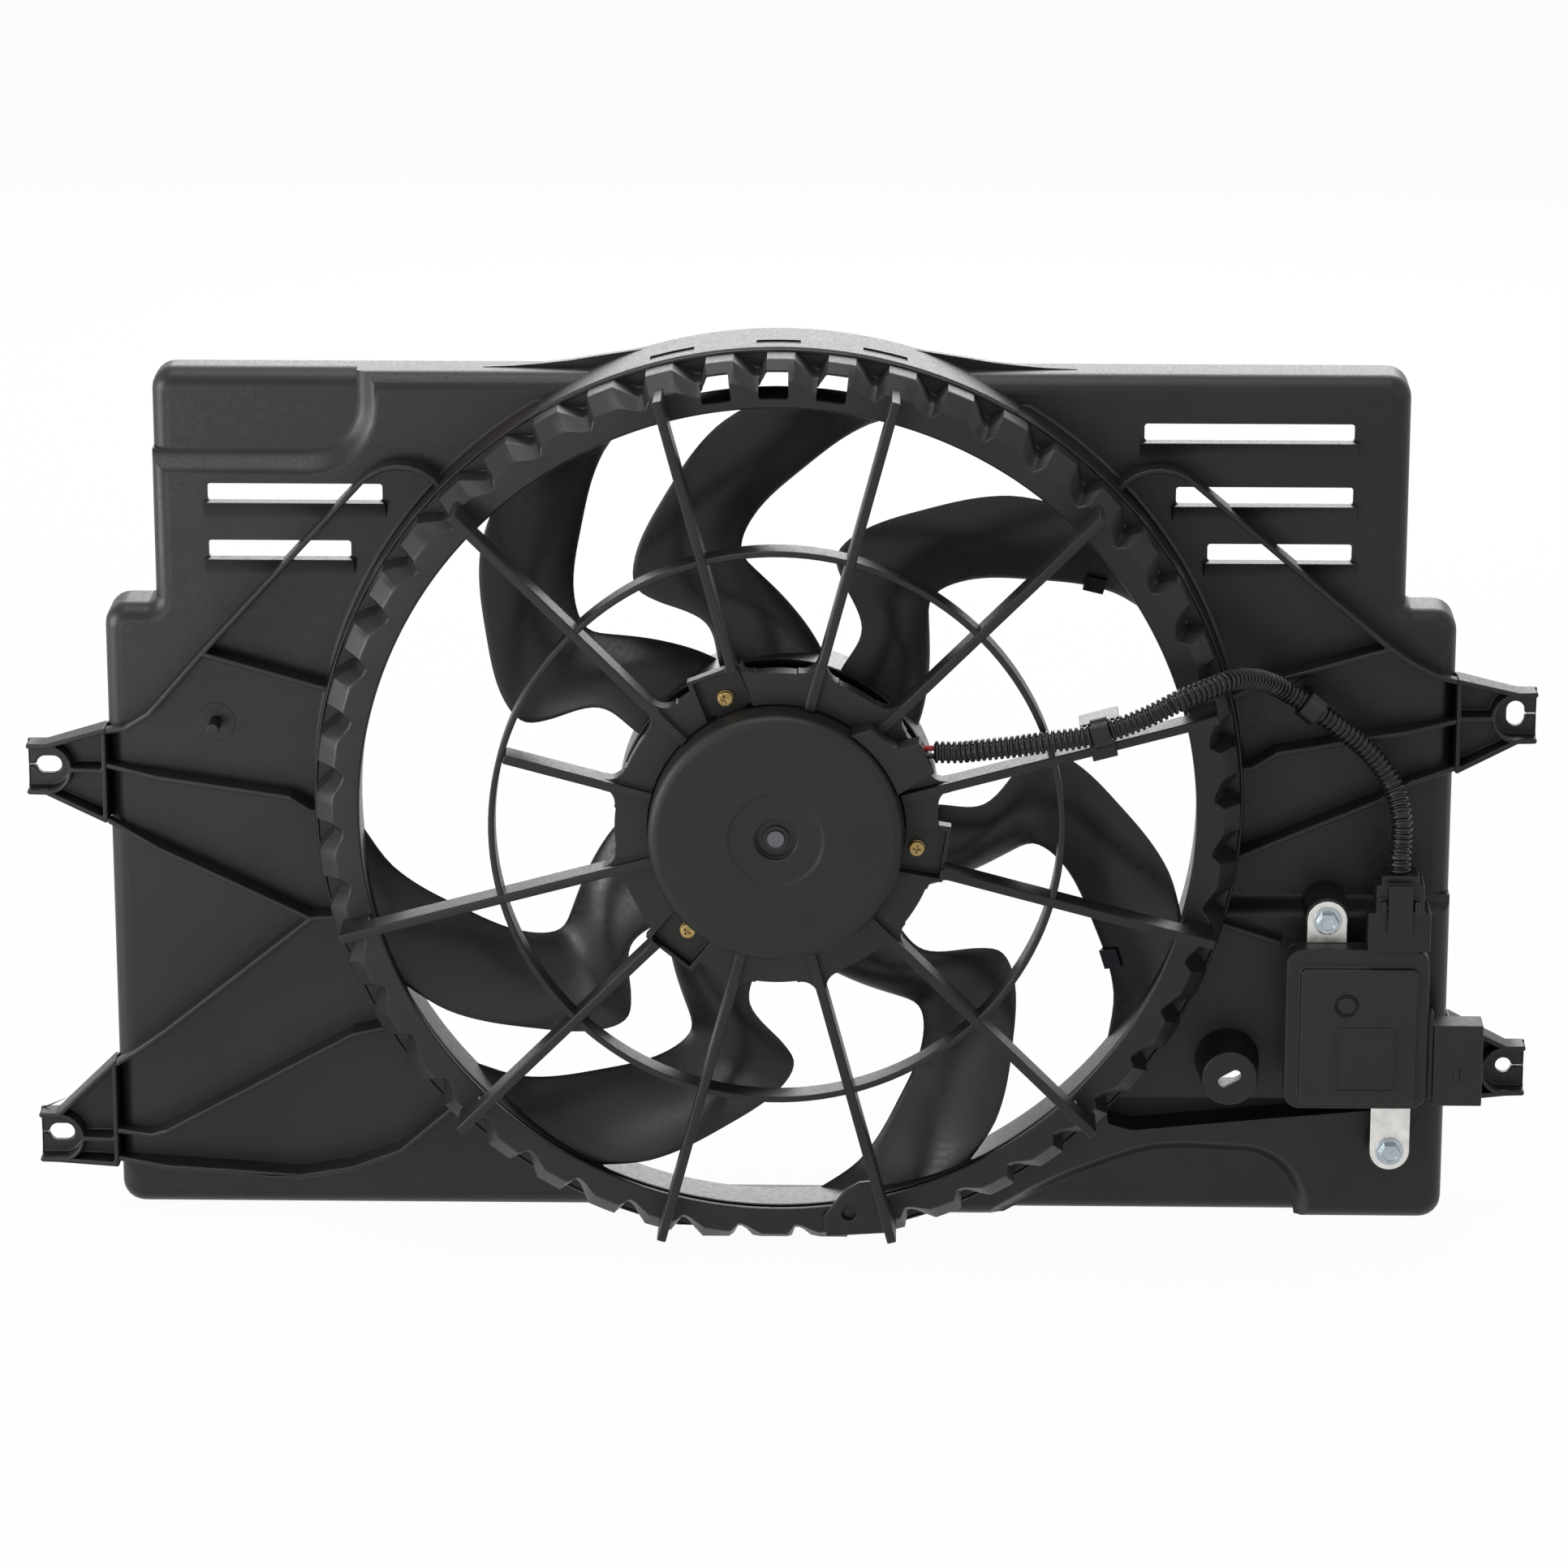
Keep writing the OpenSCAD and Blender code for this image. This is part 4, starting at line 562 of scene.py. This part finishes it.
# Motor
# A flanged direct-current motor: a black coated drawn can, a matt moulded end cap with a
# recessed bearing seat and the shaft's end, three yellow zinc screws and a lead outlet.


def coated(name, tone, rough, metallic, orange_peel=0.9):
    """Paint or plating on metal, with the light orange peel of a thin coat."""
    made, tree, shader, place = blank_material(name)
    peel = node(tree, "ShaderNodeTexNoise", {"Vector": place, "Scale": 1 / (orange_peel * mm),
                "Detail": 3})
    wear = node(tree, "ShaderNodeTexNoise", {"Vector": place, "Scale": 1 / (5 * mm),
                "Detail": 5})
    bump = node(tree, "ShaderNodeBump", {"Height": peel.outputs["Fac"], "Strength": 0.35,
                "Distance": 0.02 * mm})
    gloss = node(tree, "ShaderNodeMapRange", {"Value": wear.outputs["Fac"], "From Min": 0.3,
                 "From Max": 0.7, "To Min": rough - 0.07, "To Max": rough + 0.1})
    shade = node(tree, "ShaderNodeMapRange", {"Value": wear.outputs["Fac"], "From Min": 0.3,
                 "From Max": 0.7, "To Min": 0.82, "To Max": 1.05})
    tint = node(tree, "ShaderNodeVectorMath", {0: colour(tone)[:3]}, operation="SCALE")
    tree.links.new(shade.outputs[0], tint.inputs["Scale"])
    tree.links.new(tint.outputs[0], shader.inputs["Base Color"])
    tree.links.new(gloss.outputs[0], shader.inputs["Roughness"])
    tree.links.new(bump.outputs[0], shader.inputs["Normal"])
    shader.inputs["Metallic"].default_value = metallic
    return made


def turned(stations, sides=128):
    """A closed shape spun round the fan's axis from places of radius and distance."""
    shape = bmesh.new()
    points = [shape.verts.new(put(0, f, r)) for r, f in stations]
    edges = [shape.edges.new(pair) for pair in zip(points, points[1:] + points[:1])]
    bmesh.ops.spin(shape, geom=points + edges, cent=(0, 0, 0), axis=(0, 1, 0),
                   angle=2 * math.pi, steps=sides, use_merge=True)
    bmesh.ops.remove_doubles(shape, verts=shape.verts, dist=0.002 * mm)
    bmesh.ops.recalc_face_normals(shape, faces=shape.faces)
    return shape


# Mineral-filled nylon: a neutral, flat black, so that the cap reads as one calm disc.
cap_skin = moulded("matt_nylon_cap", "#121110", "#181716", 0.5, 1.1, 0.04)
# Electrocoat over drawn steel: smooth black with a clear line of light on the can's shoulder.
black_coat = coated("black_electrocoat_on_steel", "#141414", 0.38, 0.0)
cap_r, cap_front, cap_round = 60.7, 113, 5
cap_edge = [(cap_r - cap_round + cap_round * math.sin(a),
             cap_front - cap_round + cap_round * math.cos(a))
            for a in (math.pi / 2 * k / 8 for k in range(9))]
cap = turned([(10.4, 112.2), (21.4, 112.2), (22.1, 112.35), (22.7, 112.8), (23.4, cap_front)]
             + cap_edge + [(cap_r, 94), (56, 94), (56, 107), (53, 110.4), (14, 110.4),
                           (14, 103), (11.1, 103), (11.1, 109.8), (10, 110.6), (10, 111.8)])
piece("motor_cap_moulding", cap, "shroud", cap_skin, "cap_plastic", "motor_end_cap")
piece("motor_can_drawn", eased("motor_can", 0.6, 3), "shroud", black_coat, "motor_black",
      "motor_can")
piece("motor_lead_outlet", eased("motor_lead_cover", 0.7, 3), "shroud", cap_skin,
      "cap_plastic", "motor_lead_cover")

# Yellow passivated zinc: small gold glints beside the cap.
yellow_zinc = coated("yellow_zinc_plate", "#a08a5a", 0.36, 1.0, 0.5)
piece("motor_screws_plated", eased("motor_screws", 0.25, 2), "shroud", yellow_zinc,
      "yellow_zinc", "motor_screws")


def plain(name, tone, rough, metallic=0.0, grain=1.0):
    """A finish for a small or inner part: one tone, broken by a fine grain."""
    made, tree, shader, place = blank_material(name)
    fine = node(tree, "ShaderNodeTexNoise", {"Vector": place, "Scale": 1 / (grain * mm),
                "Detail": 3})
    shade = node(tree, "ShaderNodeMapRange", {"Value": fine.outputs["Fac"], "From Min": 0.3,
                 "From Max": 0.7, "To Min": 0.85, "To Max": 1.1})
    tint = node(tree, "ShaderNodeVectorMath", {0: colour(tone)[:3]}, operation="SCALE")
    bump = node(tree, "ShaderNodeBump", {"Height": fine.outputs["Fac"], "Strength": 0.3,
                "Distance": 0.02 * mm})
    tree.links.new(shade.outputs[0], tint.inputs["Scale"])
    tree.links.new(tint.outputs[0], shader.inputs["Base Color"])
    tree.links.new(bump.outputs[0], shader.inputs["Normal"])
    shader.inputs["Roughness"].default_value = rough
    shader.inputs["Metallic"].default_value = metallic
    return made


# The inner parts keep their solids, each with the finish of its real material: they show only
# from behind, between the blades or in a section.
finishes = {
    "steel": plain("ground_steel", "#5d5f62", 0.45, 1.0),
    "shield": plain("black_bearing_shield", "#060606", 0.6),
    "ferrite": plain("sintered_ferrite", "#2b2b2e", 0.6),
    "core_steel": plain("lamination_steel", "#7c7f83", 0.4, 1.0),
    "copper": plain("enamelled_copper", "#b4622f", 0.35, 1.0),
    "card": plain("phenolic_board", "#5c4227", 0.6),
    "carbon": plain("carbon_brush", "#202024", 0.6),
    "wire_red": plain("red_wire_jacket", "#b5141a", 0.35),
    "wire_black": plain("black_wire_jacket", "#151515", 0.35)}
for name, slot in (("shaft", "steel"), ("front_bearing", "shield"), ("rear_bearing", "steel"),
                   ("magnets", "ferrite"), ("armature_core", "core_steel"),
                   ("windings", "copper"), ("commutator", "copper"), ("brush_card", "card"),
                   ("brushes", "carbon"), ("lead_wire_red", "wire_red"),
                   ("lead_wire_black", "wire_black"), ("drive_washer", "steel")):
    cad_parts[name].data.materials.clear()
    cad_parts[name].data.materials.append(finishes[slot])

# Fan
# Hub, seven swept blades and the ring at their tips are one moulding in black nylon, smoother
# and glossier than the shroud, with two spring clips that balance it.

# Smooth black nylon: long soft streaks of light follow the sweep of the blades.
fan_skin = moulded("smooth_black_nylon", "#131313", "#191919", 0.33, 2.4, 0.015, 90)
blade_places = (0, 44, 108, 155, 208, 246, 321)
# Both edges of a blade by radius: degrees from the blade's own place, then distance from the
# rim. The blades stand at uneven angles, which breaks up their hum.
lead_edge = ((76, -21), (98, -20), (118, -29), (129, -31.5), (142, -28.5), (164, -19),
             (190, -9), (201, -3))
trail_edge = ((76, 17), (98, 3.5), (118, -6.5), (127, -8), (142, -4.5), (164, 4),
              (190, 13), (201, 19))
lead_depth = ((76, 66), (130, 62.5), (201, 62.5))
trail_depth = ((76, 49), (130, 46), (201, 43))


def along(table, r):
    """The smooth curve through a table of radius and value."""
    k = max(i for i in range(len(table) - 1) if i == 0 or table[i][0] <= r)
    (r0, a0), (r1, a1) = table[k], table[k + 1]
    before = table[max(k - 1, 0)]
    after = table[min(k + 2, len(table) - 1)]
    m0 = (a1 - before[1]) / max(r1 - before[0], 1e-6)
    m1 = (after[1] - a0) / max(after[0] - r0, 1e-6)
    t, h = (r - r0) / (r1 - r0), r1 - r0
    return ((2 * t**3 - 3 * t**2 + 1) * a0 + (t**3 - 2 * t**2 + t) * h * m0
            + (3 * t**2 - 2 * t**3) * a1 + (t**3 - t**2) * h * m1)


fan = turned([(77, 67), (76.6, 67.8), (75.6, 68), (74, 67.4), (74, 40), (12, 40), (12, 48.6),
              (4.1, 48.6), (4.1, 37), (75.5, 37), (76.6, 37.4), (77, 38.6)], 96)
tip_ring = turned([(203.3, 41.8), (203.3, 64.2), (202.7, 65), (201.9, 65), (201.3, 64.2),
                   (201.3, 41.8), (201.9, 41), (202.7, 41)], 168)
# Each blade is two skins, with this many points across and along, from the hub to the ring.
across, out = 20, 44
root_r, tip_r = 76.3, 201.8
for turn_to in blade_places:
    blade = bmesh.new()
    for side in (1, -1):
        made = bmesh.ops.create_grid(blade, x_segments=across, y_segments=out, size=1)
        for v in made["verts"]:
            t = (v.co.x + 1) / 2
            t = t - 0.07 * math.sin(2 * math.pi * t)
            r = root_r + (v.co.y + 1) / 2 * (tip_r - root_r)
            a = along(lead_edge, r) * (1 - t) + along(trail_edge, r) * t + turn_to
            depth = along(lead_depth, r) * (1 - t) + along(trail_depth, r) * t
            bulge = 3 * math.sin(math.pi * t) + side * (0.1 + 1.5 * math.sin(math.pi * t) ** 0.5)
            a = math.radians(a)
            v.co = put(r * math.sin(a), depth + bulge, r * math.cos(a))
    bmesh.ops.bridge_loops(blade, edges=[e for e in blade.edges if e.is_boundary])
    bmesh.ops.recalc_face_normals(blade, faces=blade.faces)
    mesh = bpy.data.meshes.new("blade")
    blade.to_mesh(mesh)
    blade.free()
    fan.from_mesh(mesh)
mesh = bpy.data.meshes.new("ring")
tip_ring.to_mesh(mesh)
tip_ring.free()
fan.from_mesh(mesh)
piece("fan_moulding", fan, "rotor", fan_skin, "fan_plastic", "fan_hub", "fan_blades",
      "fan_ring", angle=50)
# Blued spring steel: dark, with a blue glint on the clips' bends.
spring_steel = coated("blued_spring_steel", "#2c2d31", 0.35, 1.0, 0.6)
piece("balance_clips_sprung", eased("balance_clips", 0.3), "rotor", spring_steel,
      "spring_steel", "balance_clips")
# Clear passivated zinc: the pale tabs of the bracket, the lightest places of the module.
white_zinc = coated("white_zinc_plate", "#dbd9d5", 0.36, 1.0, 1.2)
piece("fan_nut_plated", eased("fan_nut", 0.4), "rotor", white_zinc, "zinc_steel", "fan_nut")

# Control module
# A cast heat sink on a zinc plated steel bracket, closed by a matt black cover with a raised
# field. Two flange bolts hold it, and a side block takes the vehicle's power plug.

# Filled polyester: matt and warm, so that the low frame on the cover just shows.
module_skin = moulded("matt_module_cover", "#151413", "#1c1a19", 0.48, 1.2, 0.05, 40)
# Connector nylon: a little shinier, so that the plug's many edges are drawn by light.
gloss_skin = moulded("satin_connector_nylon", "#121212", "#181818", 0.36, 1.4, 0.02, 40)
cover_face = -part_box("module_cover")[0].y / mm
left, right, low, high = 269, 299, -138.5, -105.5
rim_w = 1.1
label_frame = combine(
    solid([(left, low, 3), (right, low, 3), (right, high, 3), (left, high, 3)],
          cover_face - 1, [(0, 1.2)] + quarter(0.3, 2)),
    block(left + rim_w, right - rim_w, cover_face - 3, cover_face + 3, low + rim_w,
          high - rim_w, 2),
    "DIFFERENCE")
cover = combine(eased("module_cover", 1.1, 4), label_frame, "UNION")
piece("module_cover_moulding", cover, "shroud", module_skin, "module_plastic", "module_cover")
piece("power_socket_moulding", eased("power_socket", 0.8, 3), "shroud", module_skin,
      "module_plastic", "power_socket")
piece("module_header_moulding", eased("module_header", 0.3), "shroud", gloss_skin,
      "module_plastic", "module_header")
piece("module_bracket_plated", eased("module_bracket", 0.4, 2), "shroud", white_zinc,
      "zinc_steel", "module_bracket")
# Blue passivated zinc: brighter and cooler than the tabs, so the hexagons stand out.
blue_zinc = coated("blue_zinc_plate", "#a9b2b8", 0.2, 1.0, 0.5)
piece("module_bolts_plated", eased("module_bolts", 0.35, 2), "shroud", blue_zinc,
      "zinc_steel", "module_bolts")
# Die-cast aluminium: grey and slightly rough round the module's edge.
cast = coated("die_cast_aluminium", "#a4a7a9", 0.45, 1.0, 1.5)
piece("module_heat_sink_cast", eased("module_heat_sink", 0.4), "shroud", cast, "aluminium",
      "module_heat_sink")
finishes |= {"gasket": plain("black_gasket_rubber", "#101010", 0.7),
             "board": plain("green_solder_mask", "#1c4a2b", 0.4),
             "chips": plain("epoxy_packages", "#1d1d20", 0.5),
             "terminal": plain("tinned_brass", "#c9c2a8", 0.3, 1.0),
             "insert_brass": plain("turned_brass", "#b8913f", 0.3, 1.0),
             "seal": plain("orange_silicone", "#b5561c", 0.5)}
for name, slot in (("module_gasket", "gasket"), ("module_board", "board"),
                   ("module_parts", "chips"), ("header_pins", "terminal"),
                   ("power_blades", "terminal"), ("boss_inserts", "insert_brass"),
                   ("plug_seal", "seal"), ("plug_terminals", "terminal")):
    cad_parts[name].data.materials.clear()
    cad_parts[name].data.materials.append(finishes[slot])

# Motor plug
# A two-way nylon plug pushed down over the module's header, with a rocking latch lever on its
# front between two small cheeks.

piece("motor_plug_moulding", eased("motor_plug", 0.6, 3), "shroud", gloss_skin,
      "module_plastic", "motor_plug")
piece("plug_latch_moulding", eased("plug_latch", 0.4, 2), "latch", gloss_skin,
      "module_plastic", "plug_latch")

# Conduit and its clips
# The motor's lead runs in a black corrugated conduit of 10.6 mm, with a rib every 2.8 mm. One
# clip holds it on a stator arm and one on the shroud. Its route is a smooth curve through
# points of x, distance from the rim and z.

# Corrugated polypropylene: satin, so that each rib has its own small highlight.
conduit_skin = moulded("corrugated_polypropylene", "#151515", "#1b1b1b", 0.34, 1.2, 0.02, 30)
route = [(74.5, 99, 40), (86, 99, 40), (98, 101.5, 42), (112, 103, 44), (128, 105, 47),
         (145, 105, 49.5), (161, 105, 54), (176, 104, 60), (189, 101, 66), (202, 95, 70),
         (213, 87, 72), (223, 75, 70), (233, 63, 65), (243, 55, 58), (255, 54, 50),
         (267, 53, 41), (279, 51, 31), (289, 51, 20), (296, 53, 8), (299, 59, -4),
         (299, 61, -15), (298.5, 64, -23), (298.5, 64, -32)]
points = [put(*p) for p in route]
line = []
for k in range(len(points) - 1):
    a, b = points[k], points[k + 1]
    before, after = points[max(k - 1, 0)], points[min(k + 2, len(points) - 1)]
    for step in range(12):
        t = step / 12
        line.append(0.5 * ((2 * a) + (b - before) * t + (2 * before - 5 * a + 4 * b - after)
                    * t**2 + (3 * a - before - 3 * b + after) * t**3))
line.append(points[-1])
lengths = [0.0]
for a, b in zip(line, line[1:]):
    lengths.append(lengths[-1] + (b - a).length)
pitch = 2.8 * mm
count = int(lengths[-1] / pitch)
round_sides = 20
conduit = bmesh.new()
loops = []
for rib in range(count):
    for part, radius in ((0.0, 4.0), (0.14, 4.1), (0.24, 5.15), (0.38, 5.3), (0.56, 5.3),
                         (0.7, 5.15), (0.8, 4.1)):
        s = (rib + part) * lengths[-1] / count
        k = max(i for i in range(len(lengths) - 1) if lengths[i] <= s)
        t = (s - lengths[k]) / (lengths[k + 1] - lengths[k])
        place = line[k].lerp(line[k + 1], t)
        way = (line[min(k + 2, len(line) - 1)] - line[max(k - 1, 0)]).normalized()
        made = bmesh.ops.create_circle(conduit, segments=round_sides, radius=radius * mm,
                                       matrix=Matrix.Translation(place)
                                       @ way.to_track_quat("Z", "Y").to_matrix().to_4x4())
        loops.append(made["verts"])
for first, second in zip(loops, loops[1:]):
    for k in range(round_sides):
        beside = (k + 1) % round_sides
        conduit.faces.new((first[k], first[beside], second[beside], second[k]))
conduit.faces.new(loops[0])
conduit.faces.new(loops[-1])
bmesh.ops.recalc_face_normals(conduit, faces=conduit.faces)
piece("conduit_corrugated", conduit, "shroud", conduit_skin, "conduit_plastic", "conduit",
      angle=60)
for name in ("conduit_clip_arm", "conduit_clip_panel"):
    piece(name + "_moulding", eased(name, 0.3), "shroud", gloss_skin, "conduit_plastic", name)
